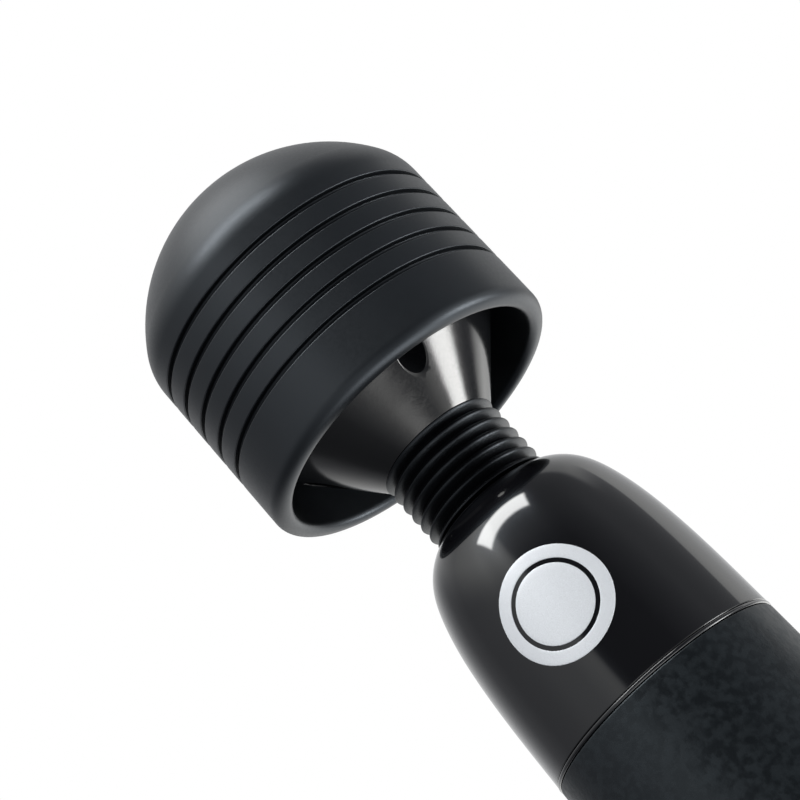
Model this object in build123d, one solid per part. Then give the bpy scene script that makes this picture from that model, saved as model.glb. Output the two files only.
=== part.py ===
"""Handheld wand massager: vibrating head on a sprung neck, cordless handle with three buttons.

Millimetres. The wand stands on its base: +Z runs up through the neck to the head, the origin is the centre
of the base, and the front, with the badge and the buttons, faces -Y.
"""

import os
from math import cos, radians, sin, sqrt

from build123d import *

# ---- driving dimensions ----
TOTAL_HEIGHT = 325.0
HEAD_RADIUS = 30.0
HEAD_DEPTH = 57.0
DOME_CROWN_RADIUS = 32.65
DOME_CORNER_RADIUS = 10.2
DOME_CORNER_BELOW_TOP = 22.1
CAP_WALL = 3.6
GROOVE_COUNT = 5
GROOVE_PITCH = 4.88
GROOVE_WIDTH = 1.15
GROOVE_DEPTH = 1.2
FIRST_GROOVE_ABOVE_RIM = 11.9
OUTER_LIP_RADIUS = 2.3
INNER_LIP_RADIUS = 1.3

CONE_MOUTH_RADIUS = 11.66
CONE_SLOPE = 0.824
CONE_WALL = 2.2
SCREW_POCKET_RADIUS = 2.6
SCREW_CIRCLE_RADIUS = 19.4
SCREW_ANGLES = (-60.0, 60.0, 180.0)
SCREW_SEAT_DEPTH = 2.0
BOSS_HEIGHT = 7.5

NECK_TOP_Z = 261.6
NECK_BOTTOM_Z = 246.8
RIDGE_COUNT = 7
RIDGE_PITCH = 2.38
RIDGE_RADIUS = 11.8
RIDGE_DEPTH = 1.15
END_RIDGE_INSET = 0.35
END_RIDGE_DROP = 0.8
SLEEVE_RADIUS = 10.55
SLEEVE_BORE = 9.6
SLEEVE_Z = (244.3, 264.6)
SPRING_MEAN_RADIUS = 8.35
SPRING_WIRE_RADIUS = 1.0
SPRING_PITCH = 3.4
SPRING_Z = (244.4, 264.7)
SOCKET_RADIUS = 10.85
SOCKET_WALL = 2.35
COLLAR_RADIUS = 10.8
COLLAR_BORE = 6.7
LOWER_COLLAR_Z = (241.6, 244.2)
UPPER_COLLAR_Z = (264.8, 267.0)

# outline of the handle from the neck down, as (radius, height)
HANDLE_OUTLINE = (
    (11.2, 246.8),
    (14.3, 245.1),
    (17.3, 241.9),
    (19.4, 237.0),
    (21.7, 224.8),
    (22.85, 206.8),
    (23.6, 182.8),
    (24.2, 150.0),
    (23.7, 100.0),
    (22.4, 48.0),
    (21.2, 9.0),
)
BASE_Z = 0.8
BASE_RADIUS = 16.5
SHOULDER_BOTTOM_Z = 202.95
UPPER_RING_Z = (202.15, 202.9)
GRIP_Z = (46.1, 202.1)
LOWER_RING_Z = (45.3, 46.05)
END_CAP_TOP_Z = 45.25
RING_BULGE = 0.1
SHELL_WALL = 2.2
OUTER_WALL = 2.4
GRIP_THICKNESS = 1.7
SHELL_SCREW_X = 13.0
SHELL_SCREW_Z = (72.0, 177.0)
SHELL_SCREW_DEPTH = 12.0
SHOULDER_ROOM_TOP_Z = 242.6
SPIGOT_RADIUS = 18.7
SPIGOT_WALL = 1.6
SPIGOT_LOW_Z = 189.5

END_CAP_FLOOR_Z = 4.0
END_CAP_SPIGOT_RADIUS = 19.4
END_CAP_SPIGOT_WALL = 1.8
BASE_SCREW_X = 11.0
BASE_SCREW_WELL = 1.6
PAD_RADIUS = 15.6
PAD_WIDTH = 1.6
PAD_RECESS = 0.9
BULKHEAD_Z = (50.0, 52.4)
BULKHEAD_RADIUS = 17.4

BADGE_Z = 221.2
BADGE_RADIUS = 9.8
BADGE_SLIT = (6.7, 7.5)
BADGE_THICKNESS = 0.15

BEZEL_Z = (104.0, 166.0)
BEZEL_WIDTH = 19.0
WINDOW_WIDTH = 13.6
WINDOW_MARGIN = 3.0
BUTTON_Z = {"power": 116.0, "minus": 133.0, "plus": 149.0}
BUTTON_RADIUS = 5.2
BUTTON_GAP = 0.25
BUTTON_PROUD = 0.9
BUTTON_FLANGE_RADIUS = 6.2
BUTTON_FLANGE_Y = (-21.2, -20.2)
BUTTON_STEM_RADIUS = 1.8
BUTTON_TRAVEL = 0.8
INDICATOR_Z = 160.0
INDICATOR_RADIUS = 1.3

BOARD_Y = (-12.2, -10.6)
BOARD_Z = (100.0, 171.0)
BOARD_WIDTH = 21.0
SWITCH_HEIGHT = 2.0
CELL_RADIUS = 9.1
CELL_LENGTH = 65.0
CELL_BOTTOM_Z = 99.0

MOTOR_RADIUS = 15.4
MOTOR_Z = (188.0, 231.0)
MOTOR_WALL = 1.4
SHAFT_RADIUS = 1.5
HUB_RADIUS = 2.5
END_BELL_Z = (186.4, 190.4)
BUSH_RADIUS = 4.0
MAGNET_Z = (196.0, 226.0)
MAGNET_BORE = 12.2
ARMATURE_Z = (199.0, 223.0)
POLE_COUNT = 3
POLE_WIDTH = 3.2
WINDING_MARGIN = 2.2
BRUSH_Z = 192.4
COMMUTATOR_Z = (190.7, 195.6)
COMMUTATOR_RADIUS = 4.15
HUB_LOW_Z = 240.0
COUPLING_RADIUS = 4.6
MOUNT_PLATE_Z = (231.0, 233.2)
MOUNT_LEDGE = 2.2
MOUNT_SCREW_CIRCLE = 15.9
MOUNT_SCREW_COUNT = 3
MOUNT_SCREW_FIRST = 30.0
ISOLATOR_Z = (193.0, 201.0)
WIRE_RADIUS = 0.7

LOWER_PIVOT_Z = 250.5
UPPER_PIVOT_Z = 257.9
ECCENTRIC_SHAFT_RADIUS = 2.5
BEARING_OUTER_RADIUS = 8.0
BEARING_WIDTH = 5.0
BALL_RADIUS = 1.55
BALL_COUNT = 8
LOWER_BEARING_Z = 281.0
UPPER_BEARING_Z = 309.0
BEARING_SEAT_WALL = 2.2
BEARING_LIP = 1.5
CLIP_THICKNESS = 0.6
CLIP_RADIUS = 4.4
CLIP_GROOVE_RADIUS = 2.1
FLANGE_Z = 279.7
CORE_PLATE_TOP_Z = 282.0
CORE_WALL = 2.4
WEIGHT_Z = (290.6, 304.4)
WEIGHT_RADIUS = 15.5
WEIGHT_HUB_RADIUS = 6.0
SET_SCREW_RADIUS = 2.0

# ---- values worked out from them ----
RIM_Z = TOTAL_HEIGHT - HEAD_DEPTH
DOME_CORNER_Z = TOTAL_HEIGHT - DOME_CORNER_BELOW_TOP
BEARING_PITCH_RADIUS = (ECCENTRIC_SHAFT_RADIUS + BEARING_OUTER_RADIUS) / 2
CORE_RADIUS = HEAD_RADIUS - CAP_WALL
MOUNT_SCREW_ANGLES = [MOUNT_SCREW_FIRST + 360.0 * k / MOUNT_SCREW_COUNT for k in range(MOUNT_SCREW_COUNT)]
BEYOND = 40.0


# ---- shape helpers ----
def disc(radius, low, high, x=0.0, y=0.0):
    """Upright cylinder between two heights."""
    return Pos(x, y, low) * Cylinder(radius, high - low, align=(Align.CENTER, Align.CENTER, Align.MIN))


def tube(outer, inner, low, high):
    """Upright ring between two heights."""
    return disc(outer, low, high) - disc(inner, low, high)


def rod_y(radius, x, z, y_from, y_to):
    """Cylinder along Y."""
    lying = Rot(X=-90) * Cylinder(radius, y_to - y_from, align=(Align.CENTER, Align.CENTER, Align.MIN))
    return Pos(x, y_from, z) * lying


def block(x_size, y_range, z_range, x=0.0):
    """Box centred on x between two depths and two heights."""
    size_y = y_range[1] - y_range[0]
    size_z = z_range[1] - z_range[0]
    return Pos(x, y_range[0] + size_y / 2, z_range[0] + size_z / 2) * Box(x_size, size_y, size_z)


def stadium(width, z_range, y_range):
    """Upright slot shape, round at both ends, run through along Y."""
    half = width / 2
    low, high = z_range[0] + half, z_range[1] - half
    middle = block(width, y_range, (low, high))
    return middle + rod_y(half, 0, low, *y_range) + rod_y(half, 0, high, *y_range)


def turned(*outline):
    """Solid turned about Z from (radius, height) corners."""
    corners = [(radius, 0, height) for radius, height in outline]
    return revolve(make_face(Polyline(*corners, close=True)), Axis.Z)


def round_the_axis(solid, angles):
    """Copies of a solid at the given angles about Z."""
    return [Rot(Z=angle) * solid for angle in angles]


def evenly(count, first=0.0):
    """Evenly spaced angles round a circle."""
    return [first + 360.0 * k / count for k in range(count)]


def together(solids):
    """Separate solids as one node."""
    return Compound(children=list(solids))


def handle_form(grow=0.0):
    """The handle's outer form turned solid, with its radius grown or shrunk."""
    points = [(radius + grow, 0, height) for radius, height in HANDLE_OUTLINE]
    top, low = points[0], points[-1]
    foot = (BASE_RADIUS + grow, 0, BASE_Z)
    corner = (low[0] - 1.2, 0, BASE_Z + 2.5)
    outline = Spline(*points) + ThreePointArc(low, corner, foot)
    outline += Polyline(foot, (0, 0, BASE_Z), (0, 0, top[2]), top)
    return revolve(make_face(outline), Axis.Z)


def dome_edges(radius, corner, crown):
    """Crown point, crown and corner arcs and their ends for a dome of that radius, down to its cylinder."""
    crown_z = DOME_CORNER_Z - sqrt((crown - corner) ** 2 - (radius - corner) ** 2)
    lean_r = (radius - corner) / (crown - corner)
    lean_z = sqrt(1 - lean_r**2)
    join = (crown * lean_r, 0, crown_z + crown * lean_z)
    top = (0, 0, crown_z + crown)
    mid_crown = (crown * sin(radians(20)), 0, crown_z + crown * cos(radians(20)))
    mid_corner = (radius - corner + corner * cos(radians(20)), 0, DOME_CORNER_Z + corner * sin(radians(20)))
    side = (radius, 0, DOME_CORNER_Z)
    return top, side, ThreePointArc(top, mid_crown, join) + ThreePointArc(join, mid_corner, side)


def cone_radius(z):
    """Radius of the head's cone at a height."""
    return CONE_MOUTH_RADIUS + CONE_SLOPE * (z - NECK_TOP_Z)


# ---- head ----
def head_cap():
    """Soft cap: dome, five grooves and a skirt with a rounded lip that overhangs the cone."""
    top, side, outer = dome_edges(HEAD_RADIUS, DOME_CORNER_RADIUS, DOME_CROWN_RADIUS)
    inner_top, inner_side, inner = dome_edges(
        CORE_RADIUS, DOME_CORNER_RADIUS - CAP_WALL, DOME_CROWN_RADIUS - CAP_WALL
    )
    skirt_out = (HEAD_RADIUS, 0, RIM_Z + OUTER_LIP_RADIUS)
    skirt_in = (CORE_RADIUS, 0, RIM_Z + INNER_LIP_RADIUS)
    lip_bottom = (HEAD_RADIUS - OUTER_LIP_RADIUS, 0, RIM_Z)
    outer_sag = OUTER_LIP_RADIUS * (1 - sin(radians(45)))
    inner_sag = INNER_LIP_RADIUS * (1 - sin(radians(45)))
    outer_mid = (HEAD_RADIUS - outer_sag, 0, RIM_Z + outer_sag)
    inner_mid = (CORE_RADIUS + inner_sag, 0, RIM_Z + inner_sag)
    outline = outer + Line(side, skirt_out) + ThreePointArc(skirt_out, outer_mid, lip_bottom)
    outline += ThreePointArc(lip_bottom, inner_mid, skirt_in) + Line(skirt_in, inner_side)
    outline += inner + Line(inner_top, top)
    cap = revolve(make_face(outline), Axis.Z)
    for k in range(GROOVE_COUNT):
        z = RIM_Z + FIRST_GROOVE_ABOVE_RIM + k * GROOVE_PITCH
        cap -= tube(HEAD_RADIUS + 1, HEAD_RADIUS - GROOVE_DEPTH, z - GROOVE_WIDTH / 2, z + GROOVE_WIDTH / 2)
    return cap


def head_core():
    """Rigid cup under the cap, with the upper bearing's seat and three screw bosses."""
    corner = DOME_CORNER_RADIUS - CAP_WALL
    crown = DOME_CROWN_RADIUS - CAP_WALL
    top, side, outer = dome_edges(CORE_RADIUS, corner, crown)
    wall_top, wall_side, inner = dome_edges(CORE_RADIUS - CORE_WALL, corner - CORE_WALL, crown - CORE_WALL)
    foot_out = (CORE_RADIUS, 0, CORE_PLATE_TOP_Z)
    foot_in = (CORE_RADIUS - CORE_WALL, 0, CORE_PLATE_TOP_Z)
    outline = outer + Polyline(side, foot_out, foot_in, wall_side) + inner + Line(wall_top, top)
    core = revolve(make_face(outline), Axis.Z)
    seat_top = UPPER_BEARING_Z + BEARING_WIDTH
    seat_radius = BEARING_OUTER_RADIUS + BEARING_SEAT_WALL
    core += tube(seat_radius, BEARING_OUTER_RADIUS, UPPER_BEARING_Z, seat_top)
    core += tube(seat_radius, BEARING_OUTER_RADIUS - BEARING_LIP, seat_top, seat_top + 4.0)
    boss = disc(3.3, CORE_PLATE_TOP_Z, CORE_PLATE_TOP_Z + BOSS_HEIGHT, SCREW_CIRCLE_RADIUS)
    rib_end = CORE_RADIUS - 1.0
    rib = Box(rib_end - SCREW_CIRCLE_RADIUS, 3.0, BOSS_HEIGHT)
    boss += Pos((SCREW_CIRCLE_RADIUS + rib_end) / 2, 0, CORE_PLATE_TOP_Z + BOSS_HEIGHT / 2) * rib
    hole = disc(1.3, CORE_PLATE_TOP_Z, CORE_PLATE_TOP_Z + BOSS_HEIGHT - 1.0, SCREW_CIRCLE_RADIUS)
    for angle in SCREW_ANGLES:
        core += Rot(Z=angle) * boss
        core -= Rot(Z=angle) * hole
    return core


def core_plate():
    """Plate across the foot of the cup, with the lower bearing's seat."""
    seat_low = LOWER_BEARING_Z - 1.6
    plate = disc(CORE_RADIUS, FLANGE_Z, CORE_PLATE_TOP_Z)
    plate += disc(BEARING_OUTER_RADIUS + BEARING_SEAT_WALL, seat_low, LOWER_BEARING_Z + BEARING_WIDTH)
    plate -= disc(BEARING_OUTER_RADIUS, LOWER_BEARING_Z, LOWER_BEARING_Z + BEARING_WIDTH)
    plate -= disc(BEARING_OUTER_RADIUS - BEARING_LIP, seat_low, LOWER_BEARING_Z)
    hole = disc(1.6, FLANGE_Z, CORE_PLATE_TOP_Z, SCREW_CIRCLE_RADIUS)
    for angle in SCREW_ANGLES:
        plate -= Rot(Z=angle) * hole
    return plate


def head_cone():
    """Gloss cone between neck and skirt, with three upright screw pockets."""
    wide_z = NECK_TOP_Z + (CORE_RADIUS - CONE_MOUTH_RADIUS) / CONE_SLOPE
    roof_low = UPPER_COLLAR_Z[1]
    roof_top = roof_low + 1.5
    cone = turned(
        (SOCKET_RADIUS, NECK_TOP_Z),
        (CONE_MOUTH_RADIUS, NECK_TOP_Z),
        (CORE_RADIUS, wide_z),
        (CORE_RADIUS, FLANGE_Z),
        (CORE_RADIUS - CONE_WALL, FLANGE_Z),
        (cone_radius(roof_top - 0.9) - CONE_WALL, roof_top),
        (COLLAR_BORE - 0.1, roof_top),
        (COLLAR_BORE - 0.1, roof_low),
        (SOCKET_RADIUS, roof_low),
    )
    post = disc(SCREW_POCKET_RADIUS + 1.3, NECK_TOP_Z, FLANGE_Z, SCREW_CIRCLE_RADIUS)
    envelope = turned((0, NECK_TOP_Z), (CONE_MOUTH_RADIUS, NECK_TOP_Z), (CORE_RADIUS, wide_z), (0, wide_z))
    post = post & envelope
    pocket = disc(SCREW_POCKET_RADIUS, NECK_TOP_Z, FLANGE_Z - SCREW_SEAT_DEPTH, SCREW_CIRCLE_RADIUS)
    shank_hole = disc(1.6, NECK_TOP_Z, FLANGE_Z, SCREW_CIRCLE_RADIUS)
    for angle in SCREW_ANGLES:
        cone += Rot(Z=angle) * post
    for angle in SCREW_ANGLES:
        cone -= Rot(Z=angle) * pocket
        cone -= Rot(Z=angle) * shank_hole
    return cone


def cross_screw(head_radius, head_height, shank_radius, length):
    """Cross-head screw with its head below Z 0 and its shank up +Z."""
    screw = disc(head_radius, -head_height, 0) + disc(shank_radius, 0, length)
    for angle in (0, 90):
        screw -= Rot(Z=angle) * Pos(0, 0, -head_height) * Box(head_radius * 1.3, 0.5, head_height)
    return screw


def cone_screws():
    """Three screws up through the pockets into the cup's bosses."""
    screw = Pos(SCREW_CIRCLE_RADIUS, 0, FLANGE_Z - SCREW_SEAT_DEPTH) * cross_screw(2.2, 1.6, 1.25, 8.0)
    return together(round_the_axis(screw, SCREW_ANGLES))


def bearing_rings(low):
    """Inner and outer ring of a ball bearing, each with its raceway."""
    middle = low + BEARING_WIDTH / 2
    race = Pos(0, 0, middle) * Torus(BEARING_PITCH_RADIUS, BALL_RADIUS + 0.07)
    inner = tube(BEARING_PITCH_RADIUS - 0.85, ECCENTRIC_SHAFT_RADIUS, low, low + BEARING_WIDTH) - race
    outer = tube(BEARING_OUTER_RADIUS, BEARING_PITCH_RADIUS + 0.85, low, low + BEARING_WIDTH) - race
    return inner, outer


def bearing_balls(low):
    """The balls of one bearing."""
    ball = Pos(BEARING_PITCH_RADIUS, 0, low + BEARING_WIDTH / 2) * Sphere(BALL_RADIUS)
    return together(round_the_axis(ball, evenly(BALL_COUNT)))


# ---- eccentric drive ----
def eccentric_shaft():
    """Shaft through both bearings, with its drive end in the neck and two clip grooves."""
    shaft = disc(ECCENTRIC_SHAFT_RADIUS, UPPER_PIVOT_Z + 0.8, UPPER_BEARING_Z + BEARING_WIDTH + 1.5)
    for low in clip_heights():
        shaft -= tube(CLIP_RADIUS, CLIP_GROOVE_RADIUS, low, low + CLIP_THICKNESS)
    return shaft


def clip_heights():
    """Lower faces of the two retaining clips, on the inner sides of the bearings."""
    return LOWER_BEARING_Z + BEARING_WIDTH + 0.1, UPPER_BEARING_Z - CLIP_THICKNESS - 0.1


def shaft_clips():
    """Two open retaining clips."""
    gap = block(3.0, (0, 6), (LOWER_BEARING_Z, UPPER_BEARING_Z))
    clips = [tube(CLIP_RADIUS, CLIP_GROOVE_RADIUS, low, low + CLIP_THICKNESS) for low in clip_heights()]
    return together([clip - gap for clip in clips])


def eccentric_weight():
    """Half-round weight on a hub, drilled for its set screw."""
    low, high = WEIGHT_Z
    half = disc(WEIGHT_RADIUS, low, high) & block(2 * WEIGHT_RADIUS, (-WEIGHT_RADIUS, 0), WEIGHT_Z)
    weight = half + disc(WEIGHT_HUB_RADIUS, low, high) - disc(ECCENTRIC_SHAFT_RADIUS, low, high)
    middle = (low + high) / 2
    return weight - rod_y(SET_SCREW_RADIUS, 0, middle, 0, WEIGHT_HUB_RADIUS + 1)


def set_screw():
    """Headless screw that locks the weight on its shaft."""
    middle = sum(WEIGHT_Z) / 2
    end = WEIGHT_HUB_RADIUS + 0.3
    screw = rod_y(SET_SCREW_RADIUS, 0, middle, ECCENTRIC_SHAFT_RADIUS, end)
    return screw - rod_y(0.9, 0, middle, end - 1.5, end)


def drive_coupling():
    """Flexible tube that turns the eccentric shaft from the motor's hub through the bending neck."""
    return tube(COUPLING_RADIUS, HUB_RADIUS + 0.05, LOWER_PIVOT_Z - 5.5, UPPER_PIVOT_Z + 5.5)


def drive_hub():
    """Hub pressed on the motor shaft."""
    hub = disc(HUB_RADIUS, HUB_LOW_Z + 2.0, LOWER_PIVOT_Z - 0.8)
    hub += disc(COUPLING_RADIUS, HUB_LOW_Z, LOWER_PIVOT_Z - 6.5)
    return hub - disc(SHAFT_RADIUS, HUB_LOW_Z, LOWER_PIVOT_Z - 2.0)


# ---- neck ----
def ridge_height(k):
    """Height of the crest of ridge k, counted down from the cone."""
    return NECK_TOP_Z - 0.12 - k * RIDGE_PITCH


def neck_bellows():
    """Ridged rubber sleeve over the neck spring, its end ridges half buried in the cone and the shoulder."""
    valley = RIDGE_RADIUS - RIDGE_DEPTH
    mouth_z = NECK_TOP_Z - 0.08
    foot_z = NECK_BOTTOM_Z + 0.1
    outline = Line((SLEEVE_RADIUS, 0, mouth_z), (RIDGE_RADIUS, 0, mouth_z))
    start = (RIDGE_RADIUS, 0, mouth_z)
    bend = (RIDGE_RADIUS - END_RIDGE_INSET, 0, ridge_height(0) - END_RIDGE_DROP)
    end = (valley, 0, ridge_height(0) - RIDGE_PITCH / 2)
    outline += ThreePointArc(start, bend, end)
    for k in range(1, RIDGE_COUNT - 1):
        next_end = (valley, 0, ridge_height(k) - RIDGE_PITCH / 2)
        outline += ThreePointArc(end, (RIDGE_RADIUS, 0, ridge_height(k)), next_end)
        end = next_end
    last = (RIDGE_RADIUS, 0, ridge_height(RIDGE_COUNT - 1))
    outline += ThreePointArc(end, (RIDGE_RADIUS - END_RIDGE_INSET, 0, last[2] + END_RIDGE_DROP), last)
    low, top = SLEEVE_Z
    outline += Polyline(last, (RIDGE_RADIUS, 0, foot_z), (SLEEVE_RADIUS, 0, foot_z), (SLEEVE_RADIUS, 0, low))
    outline += Polyline((SLEEVE_RADIUS, 0, low), (SLEEVE_BORE, 0, low), (SLEEVE_BORE, 0, top))
    outline += Polyline((SLEEVE_BORE, 0, top), (SLEEVE_RADIUS, 0, top), (SLEEVE_RADIUS, 0, mouth_z))
    return revolve(make_face(outline), Axis.Z)


def neck_spring():
    """Stout coil spring that carries the head and lets the neck bend."""
    low = SPRING_Z[0] + SPRING_WIRE_RADIUS
    high = SPRING_Z[1] - SPRING_WIRE_RADIUS
    path = Pos(0, 0, low) * Helix(pitch=SPRING_PITCH, height=high - low, radius=SPRING_MEAN_RADIUS)
    section = Plane(origin=path @ 0, z_dir=path % 0) * Circle(SPRING_WIRE_RADIUS)
    return sweep(section, path=path, is_frenet=True)


def neck_collar_lower():
    """Ring in the shoulder's socket that seats the spring's foot."""
    return tube(COLLAR_RADIUS, COLLAR_BORE, *LOWER_COLLAR_Z)


def neck_collar_upper():
    """Ring in the cone's socket that seats the spring's top."""
    return tube(COLLAR_RADIUS, COLLAR_BORE, *UPPER_COLLAR_Z)


# ---- handle outside ----
def shoulder_shell():
    """Gloss dome from the neck to the grip, with the neck socket, a motor ledge and a spigot."""
    slab = disc(BEYOND, SHOULDER_BOTTOM_Z, NECK_BOTTOM_Z)
    room = handle_form(-OUTER_WALL) & disc(BEYOND, SHOULDER_BOTTOM_Z - 1, SHOULDER_ROOM_TOP_Z)
    shell = (handle_form() & slab) - room
    floor = LOWER_COLLAR_Z[0]
    socket = tube(SOCKET_RADIUS + SOCKET_WALL, SOCKET_RADIUS, floor, NECK_BOTTOM_Z - 1.8)
    socket += tube(SOCKET_RADIUS + SOCKET_WALL, COLLAR_BORE, floor - 1.8, floor)
    shell += socket & handle_form()
    shell -= disc(SOCKET_RADIUS, floor, NECK_BOTTOM_Z + 1)
    ledge_low = MOUNT_PLATE_Z[1]
    ledge_top = ledge_low + MOUNT_LEDGE
    ledge = tube(21.5, MOUNT_SCREW_CIRCLE - 1.7, ledge_low, ledge_top) & handle_form(-1.0)
    hole = disc(1.1, ledge_low, ledge_top, MOUNT_SCREW_CIRCLE)
    for angle in MOUNT_SCREW_ANGLES:
        ledge -= Rot(Z=angle) * hole
    step_top = SHOULDER_BOTTOM_Z + 1.5
    spigot = tube(SPIGOT_RADIUS, SPIGOT_RADIUS - SPIGOT_WALL, SPIGOT_LOW_Z, step_top)
    step = tube(22.0, SPIGOT_RADIUS - SPIGOT_WALL, SHOULDER_BOTTOM_Z, step_top)
    return shell + ledge + spigot + step


def trim_ring(z_range, spigot_radius):
    """Thin gloss bead round a spigot, a little proud of the handle."""
    bead = handle_form(RING_BULGE) & disc(BEYOND, *z_range)
    return bead - disc(spigot_radius, *z_range)


def trim_ring_upper():
    """Bead between the shoulder and the grip."""
    return trim_ring(UPPER_RING_Z, SPIGOT_RADIUS + 0.02)


def trim_ring_lower():
    """Bead between the grip and the end cap."""
    return trim_ring(LOWER_RING_Z, END_CAP_SPIGOT_RADIUS + 0.2)


def grip_sleeve():
    """Soft-touch sleeve from ring to ring, with a window for the control panel."""
    slab = disc(BEYOND, *GRIP_Z)
    sleeve = (handle_form() - handle_form(-GRIP_THICKNESS)) & slab
    return sleeve - stadium(BEZEL_WIDTH + 0.3, (BEZEL_Z[0] - 0.15, BEZEL_Z[1] + 0.15), (-30, 0))


def badge():
    """Plain silver disc and ring laid on the front of the shoulder."""
    layer = handle_form(BADGE_THICKNESS) - handle_form()
    mark = rod_y(BADGE_RADIUS, 0, BADGE_Z, -30, 0) - rod_y(BADGE_SLIT[1], 0, BADGE_Z, -30, 0)
    mark += rod_y(BADGE_SLIT[0], 0, BADGE_Z, -30, 0)
    return together((layer & mark).solids())


def control_bezel():
    """Gloss panel in the sleeve's window, with openings for the buttons and the indicator."""
    layer = handle_form(0.25) - handle_form(-GRIP_THICKNESS)
    bezel = layer & stadium(BEZEL_WIDTH, BEZEL_Z, (-30, 0))
    for z in BUTTON_Z.values():
        bezel -= rod_y(BUTTON_RADIUS + BUTTON_GAP, 0, z, -30, 0)
    return bezel - rod_y(INDICATOR_RADIUS, 0, INDICATOR_Z, -30, 0)


def button(name):
    """Button cap with its keeping flange, its stem and a raised generic symbol."""
    z = BUTTON_Z[name]
    cap = rod_y(BUTTON_RADIUS, 0, z, -30, -BUTTON_FLANGE_RADIUS) & handle_form(BUTTON_PROUD)
    cap -= block(30, (BUTTON_FLANGE_Y[1], 0), (z - 10, z + 10))
    flange = rod_y(BUTTON_FLANGE_RADIUS, 0, z, *BUTTON_FLANGE_Y)
    flange -= block(4, (-22, -20), (z + 5.7, z + 8))
    stem_end = BOARD_Y[0] - SWITCH_HEIGHT - BUTTON_TRAVEL - 0.1
    return cap + flange + rod_y(BUTTON_STEM_RADIUS, 0, z, BUTTON_FLANGE_Y[1], stem_end)


def indicator_lens():
    """Small light pipe from the board to the panel."""
    return rod_y(INDICATOR_RADIUS, 0, INDICATOR_Z, -30, BOARD_Y[0] - 1.4) & handle_form(0.35)


def handle_half(front):
    """One half of the clamshell under the sleeve, with screw bosses at both ends."""
    low, high = GRIP_Z[0] + 3.0, GRIP_Z[1]
    inner = -GRIP_THICKNESS - SHELL_WALL
    shell = (handle_form(-GRIP_THICKNESS) - handle_form(inner)) & disc(BEYOND, low, high)
    places = [(x, z) for z in SHELL_SCREW_Z for x in (-SHELL_SCREW_X, SHELL_SCREW_X)]
    for x, z in places:
        shell += rod_y(3.0, x, z, -30, 30) & handle_form(inner + 0.5)
    side = (-BEYOND, 0) if front else (0, BEYOND)
    half = shell & block(2 * BEYOND, side, (low, high))
    for x, z in places:
        if front:
            half -= rod_y(1.0, x, z, -10, 0)
        else:
            half -= rod_y(1.3, x, z, 0, SHELL_SCREW_DEPTH)
            half -= rod_y(2.7, x, z, SHELL_SCREW_DEPTH, 30)
    if front:
        half -= stadium(WINDOW_WIDTH, (BEZEL_Z[0] + WINDOW_MARGIN, BEZEL_Z[1] - WINDOW_MARGIN), (-30, 0))
    return half


def handle_front_shell():
    """Front half, with the window for the buttons."""
    return handle_half(front=True)


def handle_rear_shell():
    """Rear half, with the wells for the screws' heads."""
    return handle_half(front=False)


def shell_screws():
    """Four screws that hold the clamshell halves together."""
    lying = Rot(X=90) * cross_screw(2.3, 1.6, 1.0, 20.0)
    places = [(x, z) for z in SHELL_SCREW_Z for x in (-SHELL_SCREW_X, SHELL_SCREW_X)]
    return together([Pos(x, SHELL_SCREW_DEPTH, z) * lying for x, z in places])


def end_cap():
    """Gloss cap at the foot, with two screw wells and the inlet's hole."""
    room = handle_form(-OUTER_WALL) & disc(BEYOND, END_CAP_FLOOR_Z, 60)
    cap = (handle_form() & disc(BEYOND, BASE_Z, END_CAP_TOP_Z)) - room
    bore = END_CAP_SPIGOT_RADIUS - END_CAP_SPIGOT_WALL
    spigot_low = END_CAP_TOP_Z - 4.0
    cap += tube(END_CAP_SPIGOT_RADIUS, bore, spigot_low, GRIP_Z[0] + 2.8)
    cap += tube(21.5, bore, spigot_low, spigot_low + 1.5) & handle_form(-1.0)
    for x in (-BASE_SCREW_X, BASE_SCREW_X):
        cap -= disc(2.6, BASE_Z, BASE_Z + BASE_SCREW_WELL, x)
        cap -= disc(1.4, BASE_Z, 5, x)
    cap -= disc(4.1, BASE_Z, 5)
    return cap - tube(PAD_RADIUS, PAD_RADIUS - PAD_WIDTH, BASE_Z, BASE_Z + PAD_RECESS)


def end_cap_screws():
    """Two screws up into the bulkhead's posts."""
    screw = Pos(0, 0, BASE_Z + BASE_SCREW_WELL) * cross_screw(2.4, 1.4, 1.2, 12.0)
    return together([Pos(x, 0, 0) * screw for x in (-BASE_SCREW_X, BASE_SCREW_X)])


def base_pad():
    """Rubber ring let into the foot, which the wand stands on."""
    return tube(PAD_RADIUS, PAD_RADIUS - PAD_WIDTH, 0, BASE_Z + PAD_RECESS)


def base_bulkhead():
    """Plate across the foot of the clamshell, with posts for the end cap's screws."""
    post_low = END_CAP_FLOOR_Z + 0.2
    plate = disc(BULKHEAD_RADIUS, *BULKHEAD_Z)
    for x in (-BASE_SCREW_X, BASE_SCREW_X):
        plate += disc(3.0, post_low, BULKHEAD_Z[0], x)
        plate -= disc(1.2, post_low, 16.0, x)
    return plate - disc(3.0, *BULKHEAD_Z, 0, 6.0)


def dc_inlet():
    """Round low-voltage charging socket with its centre pin."""
    body = disc(5.6, END_CAP_FLOOR_Z, 15.0) + disc(4.0, BASE_Z + 0.2, END_CAP_FLOOR_Z)
    body -= disc(2.8, BASE_Z + 0.2, 10.5)
    return body + disc(1.0, 2.0, 10.5)


# ---- handle inside ----
def circuit_board():
    """Control board behind the buttons."""
    return block(BOARD_WIDTH, BOARD_Y, BOARD_Z)


def tact_switches():
    """One switch under each button."""
    top = (BOARD_Y[0] - SWITCH_HEIGHT, BOARD_Y[0])
    return together([block(6.0, top, (z - 3.0, z + 3.0)) for z in BUTTON_Z.values()])


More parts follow.
